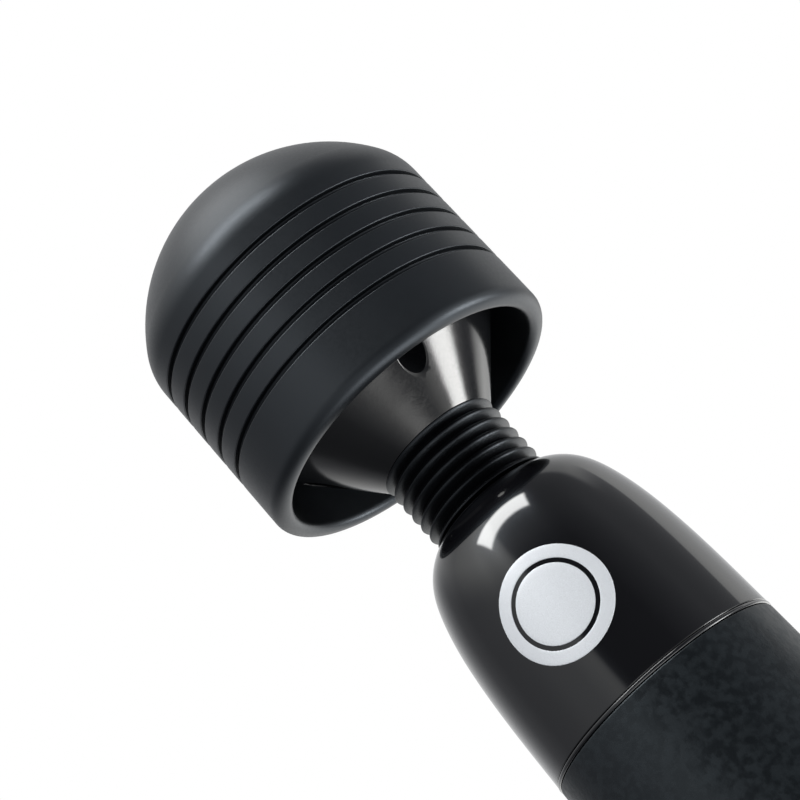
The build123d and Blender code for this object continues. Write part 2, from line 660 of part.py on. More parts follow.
def indicator_led():
    """Lamp behind the light pipe."""
    return block(2.0, (BOARD_Y[0] - 1.2, BOARD_Y[0]), (INDICATOR_Z - 1.0, INDICATOR_Z + 1.0))


def board_components():
    """Chips and capacitors on the free parts of the board."""
    face = BOARD_Y[0]
    chip = block(5.0, (face - 1.5, face), (122.0, 127.5), -5.5)
    driver = block(4.0, (face - 1.5, face), (138.5, 143.5), 6.0)
    capacitors = [rod_y(2.4, x, 105.0, face - 5.0, face) for x in (-6.5, 6.5)]
    return together([chip, driver, *capacitors])


def battery_cells():
    """Two cylindrical cells side by side."""
    top = CELL_BOTTOM_Z + CELL_LENGTH
    spread = CELL_RADIUS + 0.1
    return together([disc(CELL_RADIUS, CELL_BOTTOM_Z, top, x) for x in (-spread, spread)])


def battery_holder():
    """Cradle: two end plates joined by a spine behind the cells."""
    top = CELL_BOTTOM_Z + CELL_LENGTH
    plate = 2.4
    outline = handle_form(-GRIP_THICKNESS - SHELL_WALL - 0.4) - block(60, (-BEYOND, -9.6), (60, 200))
    ends = disc(BEYOND, CELL_BOTTOM_Z - plate, CELL_BOTTOM_Z) + disc(BEYOND, top, top + plate)
    spine = block(12.0, (9.3, 11.8), (CELL_BOTTOM_Z - plate, top + plate))
    return (ends & outline) + spine


def motor_can():
    """Steel can of the motor, closed at the top round the front bush."""
    low, high = MOTOR_Z
    can = disc(MOTOR_RADIUS, low, high) - disc(MOTOR_RADIUS - MOTOR_WALL, low, high - MOTOR_WALL)
    return can - disc(BUSH_RADIUS, high - MOTOR_WALL, high)


def motor_end_bell():
    """Moulded rear cover of the motor, which holds the brushes and the rear bush."""
    bell = tube(MOTOR_RADIUS - MOTOR_WALL, BUSH_RADIUS, *END_BELL_Z)
    for x in (-7.6, 7.6):
        bell -= Pos(x, 0, END_BELL_Z[1] - 1.5) * Box(3.4, 3.4, 3.2)
    return bell


def motor_bushes():
    """Front and rear sleeve bearings of the motor shaft."""
    bore = SHAFT_RADIUS + 0.03
    top = MOTOR_Z[1]
    return together([tube(BUSH_RADIUS, bore, *END_BELL_Z), tube(BUSH_RADIUS, bore, top - 3.4, top + 1.0)])


def motor_magnets():
    """Two curved magnets in the can."""
    ring = tube(MOTOR_RADIUS - MOTOR_WALL, MAGNET_BORE, *MAGNET_Z)
    return together([ring & block(40, side, MAGNET_Z) for side in ((-20, -4), (4, 20))])


def motor_brushes():
    """Two carbon brushes that press on the commutator."""
    reach = COMMUTATOR_RADIUS + 1.7
    return together([Pos(x, 0, BRUSH_Z) * Box(3.2, 3.2, 3.6) for x in (-reach, reach)])


def motor_armature():
    """Three-pole laminated core."""
    core = disc(4.6, *ARMATURE_Z)
    for angle in evenly(POLE_COUNT, 90):
        core += Rot(Z=angle) * block(POLE_WIDTH, (3.0, 9.6), ARMATURE_Z)
        tip = tube(11.6, 9.4, *ARMATURE_Z) & block(14.5, (0, 12), ARMATURE_Z)
        core += Rot(Z=angle) * tip
    return core - disc(SHAFT_RADIUS, *ARMATURE_Z)


def motor_windings():
    """Copper coil round each pole."""
    low, high = ARMATURE_Z
    around = block(POLE_WIDTH + 0.1, (5.0, 9.4), (low - 0.1, high + 0.1))
    coil = block(6.6, (5.2, 8.5), (low - WINDING_MARGIN, high + WINDING_MARGIN)) - around
    return together(round_the_axis(coil, evenly(POLE_COUNT, 90)))


def commutator():
    """Copper drum that the brushes run on."""
    return tube(COMMUTATOR_RADIUS, SHAFT_RADIUS, *COMMUTATOR_Z)


def motor_shaft():
    """Motor shaft from the rear bush up into the drive hub."""
    return disc(SHAFT_RADIUS, END_BELL_Z[0] + 0.2, LOWER_PIVOT_Z - 2.2)


def motor_mount():
    """Plate that hangs the motor under the shoulder's ledge."""
    plate = disc(17.6, *MOUNT_PLATE_Z) - disc(4.3, *MOUNT_PLATE_Z)
    for angle in MOUNT_SCREW_ANGLES:
        plate -= Rot(Z=angle) * disc(1.4, *MOUNT_PLATE_Z, MOUNT_SCREW_CIRCLE)
    return plate


def motor_mount_screws():
    """Three screws up through the plate into the ledge, their heads cut to clear the motor."""
    low = MOUNT_PLATE_Z[0]
    screw = disc(1.05, low, low + 4.2, MOUNT_SCREW_CIRCLE)
    head = disc(1.9, low - 1.2, low, MOUNT_SCREW_CIRCLE) - disc(MOTOR_RADIUS + 0.05, low - 2, low)
    return together(round_the_axis(screw + head, MOUNT_SCREW_ANGLES))


def motor_isolator():
    """Rubber band that steadies the motor in the spigot."""
    return tube(SPIGOT_RADIUS - SPIGOT_WALL - 0.05, MOTOR_RADIUS, *ISOLATOR_Z)


def board_middle():
    """Depth of the middle of the circuit board's thickness."""
    return sum(BOARD_Y) / 2


def lead(points, radii):
    """Insulated wire along straight runs joined by arcs."""
    path = FilletPolyline(*points, radius=radii)
    section = Plane(origin=path @ 0, z_dir=path % 0) * Circle(WIRE_RADIUS)
    return sweep(section, path=path)


def motor_leads():
    """Two wires from the board to the motor's end bell."""
    y, low, high = board_middle(), BOARD_Z[1], END_BELL_Z[0]
    route = [(7.6, y, low), (7.6, y, low + 5.5), (9.6, -7.0, high - 4.9), (9.6, -7.0, high)]
    mirrored = [(-x, y, z) for x, y, z in route]
    return together([lead(route, 2.5), lead(mirrored, 2.5)])


def inlet_leads():
    """Two wires from the charging socket past the bulkhead to the board."""
    y = board_middle()
    top = BOARD_Z[0]
    bends = [(2.0, 15.0), (2.0, 30.0), (6.0, 42.0), (6.0, 60.0), (y, top - 16.0), (y, top)]
    return together([lead([(x, *bend) for bend in bends], 6.0) for x in (-1.2, 1.2)])


def nodes():
    """Every piece of the wand by its node name."""
    lower_inner, lower_outer = bearing_rings(LOWER_BEARING_Z)
    upper_inner, upper_outer = bearing_rings(UPPER_BEARING_Z)
    pieces = {
        "lower_bearing_inner_ring": lower_inner,
        "lower_bearing_outer_ring": lower_outer,
        "lower_bearing_balls": bearing_balls(LOWER_BEARING_Z),
        "upper_bearing_inner_ring": upper_inner,
        "upper_bearing_outer_ring": upper_outer,
        "upper_bearing_balls": bearing_balls(UPPER_BEARING_Z),
    }
    for name in BUTTON_Z:
        pieces["button_" + name] = button(name)
    makers = (
        head_cap, head_core, core_plate, head_cone, cone_screws,
        eccentric_shaft, shaft_clips, eccentric_weight, set_screw, drive_coupling, drive_hub,
        neck_bellows, neck_spring, neck_collar_lower, neck_collar_upper,
        shoulder_shell, trim_ring_upper, grip_sleeve, trim_ring_lower, badge, control_bezel, indicator_lens,
        handle_front_shell, handle_rear_shell, shell_screws,
        end_cap, end_cap_screws, base_pad, base_bulkhead, dc_inlet,
        circuit_board, tact_switches, indicator_led, board_components, battery_cells, battery_holder,
        motor_can, motor_end_bell, motor_bushes, motor_magnets, motor_brushes,
        motor_armature, motor_windings, commutator, motor_shaft,
        motor_mount, motor_mount_screws, motor_isolator, motor_leads, inlet_leads,
    )
    for make in makers:
        pieces[make.__name__] = make()
    return pieces


os.makedirs("parts", exist_ok=True)
for node_name, solid in nodes().items():
    export_step(solid, f"parts/{node_name}.step")
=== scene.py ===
"""Looks of the handheld wand massager: meshes, materials, studio and camera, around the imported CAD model.

Metres, in the CAD model's frame: the wand stands on the floor, +Z runs up to the head, and the badge and
buttons face -Y.
"""

from math import atan2, cos, pi, radians, sin, sqrt, tan, tau

import bmesh
import bpy
import numpy as np
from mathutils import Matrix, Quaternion, Vector


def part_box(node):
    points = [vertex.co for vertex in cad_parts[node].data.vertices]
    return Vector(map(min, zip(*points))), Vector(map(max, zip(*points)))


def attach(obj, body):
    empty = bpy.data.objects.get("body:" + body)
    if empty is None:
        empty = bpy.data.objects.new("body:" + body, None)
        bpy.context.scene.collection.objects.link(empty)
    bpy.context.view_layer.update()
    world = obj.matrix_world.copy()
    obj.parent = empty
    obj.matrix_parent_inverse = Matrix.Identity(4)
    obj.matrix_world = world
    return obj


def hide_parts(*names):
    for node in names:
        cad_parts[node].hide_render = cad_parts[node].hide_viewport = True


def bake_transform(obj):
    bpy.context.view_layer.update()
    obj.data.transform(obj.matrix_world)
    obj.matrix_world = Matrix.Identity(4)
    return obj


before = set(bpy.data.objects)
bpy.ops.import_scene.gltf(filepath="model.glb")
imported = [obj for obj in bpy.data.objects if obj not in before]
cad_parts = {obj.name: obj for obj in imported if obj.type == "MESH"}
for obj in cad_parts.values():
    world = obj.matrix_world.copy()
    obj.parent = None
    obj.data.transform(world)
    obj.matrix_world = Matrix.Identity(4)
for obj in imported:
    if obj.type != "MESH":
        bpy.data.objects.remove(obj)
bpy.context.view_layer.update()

MM = 0.001
SEGMENTS = 256

# ---- head, from the frame's own boxes and the cap's design ----
HEAD_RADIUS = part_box("head_cap")[1].x
HEAD_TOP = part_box("head_cap")[1].z
RIM_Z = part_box("head_cap")[0].z
CAP_WALL = 3.6 * MM
CROWN_RADIUS = 32.65 * MM
CORNER_RADIUS = 10.2 * MM
CORNER_BELOW_TOP = 22.1 * MM
GROOVE_COUNT = 5
GROOVE_PITCH = 4.88 * MM
GROOVE_WIDTH = 1.15 * MM
GROOVE_DEPTH = 1.2 * MM
FIRST_GROOVE_ABOVE_RIM = 11.9 * MM
GROOVE_EDGE = 0.2 * MM
GROOVE_FLOOR = 0.35 * MM
LIP_OUTER = 2.3 * MM
LIP_INNER = 1.3 * MM

# ---- cone ----
NECK_SOCKET_BORE = 10.85 * MM
NECK_TOP_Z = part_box("head_cone")[0].z
FLANGE_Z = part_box("head_cone")[1].z
CONE_WIDE_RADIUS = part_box("head_cone")[1].x
CONE_MOUTH_RADIUS = 11.66 * MM
CONE_SLOPE = 0.824
POCKET_RADIUS = 2.6 * MM
POCKET_CIRCLE = 19.4 * MM
POCKET_ANGLES = (-60, 60, 180)
POCKET_EDGE = 0.4 * MM
POCKET_FLOOR_Z = FLANGE_Z - 2.0 * MM
FLARE_TURN = 72

# ---- neck ----
NECK_BOTTOM_Z = 246.8 * MM
RIDGE_COUNT = 7
RIDGE_PITCH = 2.38 * MM
RIDGE_RADIUS = 11.8 * MM
RIDGE_DEPTH = 1.5 * MM
CREST_ROUNDNESS = 0.3
SLEEVE_BORE = 9.6 * MM
SPRING_RADIUS = 8.35 * MM
SPRING_WIRE = 1.0 * MM
SPRING_PITCH = 3.4 * MM
COUPLING_RADII = (4.6 * MM, 2.55 * MM)
SPLIT_RIDGE = 3

# ---- handle, as (radius, height) points from the neck down ----
HANDLE_POINTS = (
    (11.2, 246.8),
    (14.3, 245.1),
    (17.3, 241.9),
    (19.4, 237.0),
    (21.7, 224.8),
    (22.85, 206.8),
    (23.6, 182.8),
    (24.2, 150.0),
    (23.7, 100.0),
    (22.4, 48.0),
    (21.2, 9.0),
)
FOOT_MIDDLE = (20.0 * MM, 3.3 * MM)
FOOT_RADIUS = 16.5 * MM
FOOT_Z = 0.8 * MM
SHOULDER_BOTTOM_Z = 202.95 * MM
SPIGOT_RADIUS = 18.7 * MM
SHELL_WALL = 2.6 * MM
GRIP_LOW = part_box("grip_sleeve")[0].z
GRIP_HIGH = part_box("grip_sleeve")[1].z
GRIP_THICKNESS = 1.7 * MM
RING_PROUD = 0.1 * MM
BADGE_Z = 221.2 * MM
BADGE_DISC_RADIUS = 6.7 * MM
BADGE_RING = (7.5 * MM, 9.8 * MM)
BADGE_PROUD = 0.15 * MM
BEZEL_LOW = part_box("control_bezel")[0].z
BEZEL_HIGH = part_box("control_bezel")[1].z
BEZEL_WIDTH = 19.0 * MM
BEZEL_PROUD = 0.25 * MM
BUTTON_Z = {"power": 116.0 * MM, "minus": 133.0 * MM, "plus": 149.0 * MM}
BUTTON_RADIUS = 5.2 * MM
BUTTON_GAP = 0.25 * MM
INDICATOR_Z = 160.0 * MM
INDICATOR_RADIUS = 1.3 * MM
BELOW_SKIN = -0.02 * MM


# ---- outlines ----
def natural_spline(points, samples):
    """Points on a natural cubic spline over chord length, as an array."""
    knots = np.array(points)
    chord = np.hypot(*np.diff(knots, axis=0).T)
    reach = np.concatenate([[0.0], np.cumsum(chord)])
    count = len(knots)
    system = np.eye(count)
    sides = np.zeros_like(knots)
    for k in range(1, count - 1):
        system[k, k - 1 : k + 2] = chord[k - 1], 2 * (chord[k - 1] + chord[k]), chord[k]
        rise = (knots[k + 1] - knots[k]) / chord[k] - (knots[k] - knots[k - 1]) / chord[k - 1]
        sides[k] = 6 * rise
    bend = np.linalg.solve(system, sides)
    at = np.linspace(0, reach[-1], samples)
    k = np.clip(np.searchsorted(reach, at, side="right") - 1, 0, count - 2)
    span = chord[k][:, None]
    before = (reach[k + 1] - at)[:, None]
    after = (at - reach[k])[:, None]
    curve = (bend[k] * before**3 + bend[k + 1] * after**3) / (6 * span)
    straight = (knots[k] / span - bend[k] * span / 6) * before
    return curve + straight + (knots[k + 1] / span - bend[k + 1] * span / 6) * after


HANDLE_SAMPLES = 1200
HANDLE_LINE = natural_spline(HANDLE_POINTS, HANDLE_SAMPLES) * MM


def handle_radius(z):
    """Radius of the handle's outer form at a height."""
    return float(np.interp(z, HANDLE_LINE[::-1, 1], HANDLE_LINE[::-1, 0]))


def handle_path(high, low, step=1.0 * MM, grow=0.0):
    """Corners down the handle's form between two heights, about a step apart and clear of both ends."""
    path = []
    for radius, z in HANDLE_LINE:
        inside = low + step / 2 < z < high - step / 2
        if inside and (not path or is_far(path[-1], radius, z, step)):
            path.append((radius + grow, z, 0))
    return path


def is_far(corner, radius, z, step):
    """True if the point is a step or more from the corner."""
    return (radius - corner[0]) ** 2 + (z - corner[1]) ** 2 >= step**2


def arc(centre, radius, start, end, steps):
    """Corners on an arc about a (radius, height) centre, from one angle to another in degrees."""
    angles = np.radians(np.linspace(start, end, steps + 1))
    return [(centre[0] + radius * cos(a), centre[1] + radius * sin(a), 0) for a in angles]


def arc_through(a, b, c, steps):
    """Corners on the arc from a through b to c."""
    ax, az = a
    bx, bz = b
    cx, cz = c
    double = 2 * (ax * (bz - cz) + bx * (cz - az) + cx * (az - bz))
    squares = [x * x + z * z for x, z in (a, b, c)]
    mx = (squares[0] * (bz - cz) + squares[1] * (cz - az) + squares[2] * (az - bz)) / double
    mz = (squares[0] * (cx - bx) + squares[1] * (ax - cx) + squares[2] * (bx - ax)) / double
    first = np.degrees(atan2(az - mz, ax - mx))
    final = np.degrees(atan2(cz - mz, cx - mx))
    return arc((mx, mz), sqrt((ax - mx) ** 2 + (az - mz) ** 2), first, final, steps)


def round_angles(count):
    """Evenly spaced angles of a full turn."""
    return [tau * k / count for k in range(count)]


def edge_turn(radius, turn, rows):
    """(along, down) steps round an edge of that radius, through an angle in degrees."""
    angles = [radians(turn) * k / rows for k in range(rows + 1)]
    return [(radius * (1 - cos(a)), radius * (1 - sin(a))) for a in angles]


def fillet(before, here, after, radius, steps):
    """Points of the arc that rounds one corner."""
    back = (before - here).normalized()
    ahead = (after - here).normalized()
    half = back.angle(ahead) / 2
    centre = here + (back + ahead).normalized() * (radius / sin(half))
    start = here + back * (radius / tan(half)) - centre
    end = here + ahead * (radius / tan(half)) - centre
    turn = pi - 2 * half
    points = []
    for k in range(steps + 1):
        share = k / steps
        points.append(centre + (start * sin((1 - share) * turn) + end * sin(share * turn)) / sin(turn))
    return points


def rounded(corners, closed=True, steps=6):
    """Outline through (radius, height, fillet) corners, with extra points beside the rounded ones."""
    flat = [Vector(corner[:2]) for corner in corners]
    path = []
    for k, corner in enumerate(corners):
        ends = not closed and k in (0, len(corners) - 1)
        if corner[2] == 0 or ends:
            path.append(flat[k])
        else:
            path += fillet(flat[k - 1], flat[k], flat[(k + 1) % len(flat)], corner[2], steps)
    return supported(path, closed)


def supported(path, closed):
    """The path with points added on its long runs close to short ones, so that shading stays flat there."""
    count = len(path)
    runs = [(path[(k + 1) % count] - path[k]).length for k in range(count)]
    result = []
    for k in range(count):
        result.append(path[k])
        if not closed and k == count - 1:
            continue
        near, far = runs[k - 1], runs[(k + 1) % count]
        ahead = path[(k + 1) % count] - path[k]
        if 0 < near < runs[k] / 4:
            result.append(path[k] + ahead * (near / runs[k]))
        if 0 < far < runs[k] / 4:
            result.append(path[k] + ahead * (1 - far / runs[k]))
    return result


# ---- meshes ----
def loops_mesh(name, loops, closed=False):
    """Mesh through a stack of equally long loops, joined to itself or closed with a face at each end."""
    count = len(loops[0])
    rows = len(loops)
    faces = []
    for row in range(rows if closed else rows - 1):
        low = row * count
        high = (row + 1) % rows * count
        for k in range(count):
            after = (k + 1) % count
            faces.append((low + k, low + after, high + after, high + k))
    if not closed:
        faces.append(tuple(reversed(range(count))))
        faces.append(tuple(range((rows - 1) * count, rows * count)))
    mesh = bpy.data.meshes.new(name)
    mesh.from_pydata([point for loop in loops for point in loop], [], faces)
    form = bmesh.new()
    form.from_mesh(mesh)
    bmesh.ops.remove_doubles(form, verts=form.verts, dist=1e-7)
    bmesh.ops.recalc_face_normals(form, faces=form.faces)
    form.to_mesh(mesh)
    form.free()
    piece = bpy.data.objects.new(name, mesh)
    bpy.context.scene.collection.objects.link(piece)
    return piece


def turned(name, outline, closed=True, segments=SEGMENTS):
    """Mesh turned about Z from a (radius, height) outline."""
    angles = round_angles(segments)
    loops = [[(radius * cos(a), radius * sin(a), z) for a in angles] for radius, z in outline]
    return loops_mesh(name, loops, closed)


def on_skin(x, z, proud):
    """Point on the handle's front over (x, z), standing proud of its form."""
    return (x, -sqrt(max((handle_radius(z) + proud) ** 2 - x * x, 0.0)), z)


def circle(radius, centre_z, segments=96):
    """Circle of (x, z) points on the front."""
    return [(radius * cos(a), centre_z + radius * sin(a)) for a in round_angles(segments)]


def stadium(width, low, high, arc_steps=24, side_steps=36):
    """Upright slot shape of (x, z) points on the front, round at both ends."""
    half = width / 2
    top, bottom = high - half, low + half
    loop = []
    for first, side, start, end in ((0.0, -half, top, bottom), (pi, half, bottom, top)):
        for k in range(arc_steps):
            angle = first + pi * k / arc_steps
            loop.append((half * cos(angle), start + half * sin(angle)))
        for k in range(side_steps):
            loop.append((side, start + (end - start) * k / side_steps))
    return loop


def carve(piece, cutter):
    """Cuts the cutter's shape out of the piece and deletes the cutter."""
    cut = piece.modifiers.new("cut", "BOOLEAN")
    cut.operation = "DIFFERENCE"
    cut.solver = "EXACT"
    cut.object = cutter
    result = piece.evaluated_get(bpy.context.evaluated_depsgraph_get())
    mesh = bpy.data.meshes.new_from_object(result)
    piece.modifiers.clear()
    piece.data = mesh
    bpy.data.objects.remove(cutter)


def dress(piece, slot, body, *nodes, sharp=35):
    """Finishes a piece: smooth shading, its material, its body and the CAD nodes that it stands for."""
    piece.data.shade_smooth()
    piece.data.set_sharp_from_angle(angle=radians(sharp))
    piece.data.materials.clear()
    piece.data.materials.append(MATERIALS[slot])
    if body:
        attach(piece, body)
    if nodes:
        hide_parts(*nodes)


# ---- shader helpers ----
class Shader:
    """Short calls for the nodes of one tree."""

    def __init__(self, tree):
        self.tree = tree
        tree.nodes.clear()

    def node(self, kind, inputs=(), **settings):
        made = self.tree.nodes.new(kind)
        for name, value in settings.items():
            setattr(made, name, value)
        for key, value in dict(inputs).items():
            self.feed(made.inputs[key], value)
        return made

    def feed(self, socket, value):
        if isinstance(value, bpy.types.NodeSocket):
            self.tree.links.new(value, socket)
        else:
            socket.default_value = value

    def math(self, operation, first, second=0.0, third=0.0):
        inputs = {0: first, 1: second, 2: third}
        return self.node("ShaderNodeMath", inputs, operation=operation).outputs[0]

    def spread(self, value, low, high, to_low=0.0, to_high=1.0, smooth=False):
        """The value mapped from one range to another and held inside it."""
        kind = "SMOOTHSTEP" if smooth else "LINEAR"
        inputs = {0: value, 1: low, 2: high, 3: to_low, 4: to_high}
        return self.node("ShaderNodeMapRange", inputs, interpolation_type=kind).outputs[0]

    def ramp(self, value, stops):
        """Grey level read from (place, level) stops."""
        made = self.node("ShaderNodeValToRGB", {0: value})
        elements = made.color_ramp.elements
        for k, (place, level) in enumerate(stops):
            element = elements[k] if k < 2 else elements.new(place)
            element.position = place
            element.color = (level, level, level, 1.0)
        return made.outputs["Color"]

    def blend(self, share, first, second):
        """Mix of two numbers."""
        inputs = {0: share, 2: first, 3: second}
        return self.node("ShaderNodeMix", inputs).outputs[0]

    def blend_colour(self, share, first, second):
        """Mix of two colours."""
        inputs = {0: share, 6: first, 7: second}
        return self.node("ShaderNodeMix", inputs, data_type="RGBA").outputs[2]


class Finish(Shader):
    """One material with its surface shader and object coordinates."""

    def __init__(self, name):
        self.material = bpy.data.materials.new(name)
        self.material.use_nodes = True
        super().__init__(self.material.node_tree)
        self.surface = self.node("ShaderNodeBsdfPrincipled")
        self.node("ShaderNodeOutputMaterial", {"Surface": self.surface.outputs[0]})
        self.place = self.node("ShaderNodeTexCoord").outputs["Object"]

    def set(self, **values):
        for name, value in values.items():
            self.feed(self.surface.inputs[name.replace("_", " ")], value)

    def noise(self, size, detail=3.0, roughness=0.55):
        """Noise from 0 to 1 whose grains are about that size."""
        inputs = {"Vector": self.place, "Scale": 1 / size, "Detail": detail, "Roughness": roughness}
        return self.node("ShaderNodeTexNoise", inputs).outputs["Fac"]

    def colours(self, share, dark, light):
        self.set(Base_Color=self.blend_colour(share, (*dark, 1.0), (*light, 1.0)))

    def bump(self, height, depth):
        """Relief of that depth from a height of 0 to 1."""
        inputs = {"Height": height, "Distance": depth}
        self.set(Normal=self.node("ShaderNodeBump", inputs).outputs["Normal"])


# ---- materials ----
def silicone_black():
    """Matt silicone of the cap: even, with a very fine tooth."""
    f = Finish("silicone_black")
    tooth = f.noise(0.14 * MM, 2)
    f.colours(f.spread(f.noise(9 * MM), 0.3, 0.7), (0.0028, 0.0034, 0.0042), (0.0040, 0.0048, 0.0058))
    f.set(Roughness=f.spread(f.noise(0.5 * MM), 0.3, 0.7, 0.355, 0.415))
    f.set(Specular_IOR_Level=0.43, Specular_Tint=(0.79, 0.885, 1.0, 1.0))
    f.bump(tooth, 0.004 * MM)
    return f.material


def gloss_black():
    """Polished black plastic: a hazy body under a clear gloss, with faint handling marks."""
    f = Finish("gloss_black")
    f.colours(f.noise(6 * MM), (0.0020, 0.0020, 0.0027), (0.0027, 0.0027, 0.0035))
    f.set(Roughness=0.23, Specular_IOR_Level=0.10, Specular_Tint=(0.72, 0.86, 1.0, 1.0))
    f.set(Coat_Weight=1.0, Coat_Roughness=0.05)
    marks = f.noise(2.5 * MM, 1)
    f.bump(marks, 0.0012 * MM)
    f.set(Coat_Normal=f.surface.inputs["Normal"].links[0].from_socket)
    return f.material


def cone_gloss():
    """Gloss plastic of the cone, with the fine grain of its mould."""
    f = Finish("cone_gloss")
    f.colours(f.noise(4 * MM), (0.0035, 0.0038, 0.0045), (0.0046, 0.0050, 0.0058))
    f.set(Roughness=f.spread(f.noise(0.4 * MM, 4), 0.3, 0.7, 0.10, 0.19))
    waves = f.math("MULTIPLY", f.noise(5 * MM, 1), 5.0)
    f.bump(f.math("ADD", f.noise(0.26 * MM, 3), waves), 0.006 * MM)
    return f.material


def soft_grip():
    """Soft-touch sleeve with the small, soft spots of a fine leather."""
    f = Finish("soft_grip")
    spots = f.spread(f.noise(1.5 * MM, 2, 0.5), 0.34, 0.66, smooth=True)
    clouds = f.noise(6 * MM, 3)
    fine = f.noise(0.3 * MM, 4, 0.6)
    f.colours(f.math("MULTIPLY", spots, clouds), (0.0012, 0.0018, 0.0024), (0.0056, 0.0076, 0.0092))
    f.set(Roughness=f.spread(spots, 0.0, 1.0, 0.34, 0.43))
    f.set(Specular_IOR_Level=0.40, Specular_Tint=(0.78, 0.90, 1.0, 1.0))
    f.bump(f.math("MULTIPLY_ADD", fine, 0.3, spots), 0.016 * MM)
    return f.material


def bellows_rubber():
    """Ribbed rubber of the neck with a sanded grain."""
    f = Finish("bellows_rubber")
    grain = f.noise(0.28 * MM, 4, 0.65)
    f.colours(f.noise(1.5 * MM), (0.0012, 0.0013, 0.0017), (0.0030, 0.0032, 0.0038))
    f.set(Roughness=f.spread(grain, 0.3, 0.7, 0.26, 0.40))
    f.set(Specular_IOR_Level=0.30, Specular_Tint=(0.78, 0.88, 1.0, 1.0))
    f.bump(grain, 0.030 * MM)
    return f.material


def silver():
    """Satin silver print of the badge and the button symbols."""
    f = Finish("silver")
    flake = f.noise(0.10 * MM, 2)
    f.colours(f.spread(flake, 0.3, 0.7), (0.50, 0.52, 0.55), (0.66, 0.69, 0.73))
    f.set(Metallic=0.25, Roughness=f.spread(f.noise(0.3 * MM), 0.3, 0.7, 0.40, 0.50))
    f.bump(flake, 0.003 * MM)
    return f.material


def plain(name, dark, light, metallic, roughness, grain, depth, patch=3.0 * MM, **extra):
    """Material with patchy colour, uneven roughness and a fine relief."""
    f = Finish(name)
    texture = f.noise(grain, 3)
    f.colours(f.noise(patch, 3), dark, light)
    f.set(Metallic=metallic, Roughness=f.spread(texture, 0.25, 0.75, *roughness), **extra)
    f.bump(texture, depth)
    return f.material


def turned_metal(name, dark, light, roughness, line=0.08 * MM, **extra):
    """Metal with the fine rings that a lathe or a drawing die leaves along Z."""
    f = Finish(name)
    stretch = f.node("ShaderNodeMapping", {"Vector": f.place, "Scale": (0.02, 0.02, 1.0)})
    inputs = {"Vector": stretch.outputs[0], "Scale": 1 / line, "Detail": 3.0}
    rings = f.node("ShaderNodeTexNoise", inputs).outputs["Fac"]
    f.colours(f.noise(2 * MM), dark, light)
    f.set(Metallic=1.0, Roughness=f.spread(rings, 0.3, 0.7, *roughness), **extra)
    f.bump(rings, 0.002 * MM)
    return f.material


def button_rubber():
    """Matt rubber of the buttons."""
    dark, light = (0.020, 0.021, 0.023), (0.028, 0.029, 0.032)
    return plain("button_rubber", dark, light, 0, (0.48, 0.58), 0.15 * MM, 0.006 * MM)


def lens():
    """Milky light pipe of the indicator."""
    dark, light = (0.62, 0.66, 0.70), (0.70, 0.74, 0.78)
    return plain("lens", dark, light, 0, (0.16, 0.24), 0.3 * MM, 0.002 * MM, Transmission_Weight=0.35)


def pad_rubber():
    """Grippy rubber ring of the foot."""
    dark, light = (0.012, 0.012, 0.013), (0.020, 0.020, 0.021)
    return plain("pad_rubber", dark, light, 0, (0.65, 0.8), 0.3 * MM, 0.03 * MM)


def steel():
    """Bright drawn or turned steel."""
    return turned_metal("steel", (0.50, 0.50, 0.49), (0.60, 0.60, 0.59), (0.22, 0.36))


def zinc_weight():
    """Cast zinc, dull and slightly cloudy."""
    dark, light = (0.36, 0.37, 0.38), (0.48, 0.49, 0.50)
    return plain("zinc_weight", dark, light, 1, (0.42, 0.58), 0.4 * MM, 0.02 * MM)


def spring_steel():
    """Oil-hardened spring wire."""
    dark, light = (0.20, 0.19, 0.18), (0.30, 0.29, 0.27)
    return plain("spring_steel", dark, light, 1, (0.28, 0.42), 0.2 * MM, 0.004 * MM)


def inner_plastic():
    """Spark-eroded black nylon of the inner parts."""
    dark, light = (0.022, 0.022, 0.024), (0.032, 0.032, 0.034)
    return plain("inner_plastic", dark, light, 0, (0.45, 0.6), 0.2 * MM, 0.012 * MM)


def board():
    """Green solder mask with copper tracks showing faintly under it."""
    f = Finish("board")
    tracks = f.node("ShaderNodeTexBrick", {"Vector": f.place, "Scale": 260.0, "Mortar Size": 0.03})
    f.colours(tracks.outputs["Fac"], (0.010, 0.085, 0.030), (0.020, 0.130, 0.050))
    f.set(Roughness=f.spread(f.noise(0.6 * MM), 0.3, 0.7, 0.22, 0.34))
    f.bump(tracks.outputs["Fac"], 0.02 * MM)
    return f.material


def component():
    """Moulded black packages."""
    dark, light = (0.014, 0.014, 0.015), (0.022, 0.022, 0.024)
    return plain("component", dark, light, 0, (0.38, 0.52), 0.15 * MM, 0.01 * MM)


def copper():
    """Lacquered copper wire and segments."""
    dark, light = (0.62, 0.25, 0.12), (0.78, 0.36, 0.19)
    return turned_metal("copper", dark, light, (0.20, 0.34), line=0.25 * MM, Coat_Weight=0.5)


def magnet():
    """Sintered ferrite."""
    dark, light = (0.045, 0.045, 0.048), (0.075, 0.075, 0.080)
    return plain("magnet", dark, light, 0.3, (0.5, 0.65), 0.2 * MM, 0.02 * MM)


def carbon():
    """Pressed carbon of the brushes."""
    dark, light = (0.018, 0.018, 0.019), (0.034, 0.034, 0.036)
    return plain("carbon", dark, light, 0.1, (0.45, 0.6), 0.12 * MM, 0.015 * MM)


def cell_wrap():
    """Shrink film of the battery cells."""
    dark, light = (0.020, 0.085, 0.210), (0.028, 0.105, 0.250)
    return plain("cell_wrap", dark, light, 0, (0.24, 0.34), 1.2 * MM, 0.02 * MM, Coat_Weight=0.3)


def bronze():
    """Sintered bronze of the bushes."""
    return turned_metal("bronze", (0.42, 0.26, 0.12), (0.54, 0.35, 0.17), (0.30, 0.45))


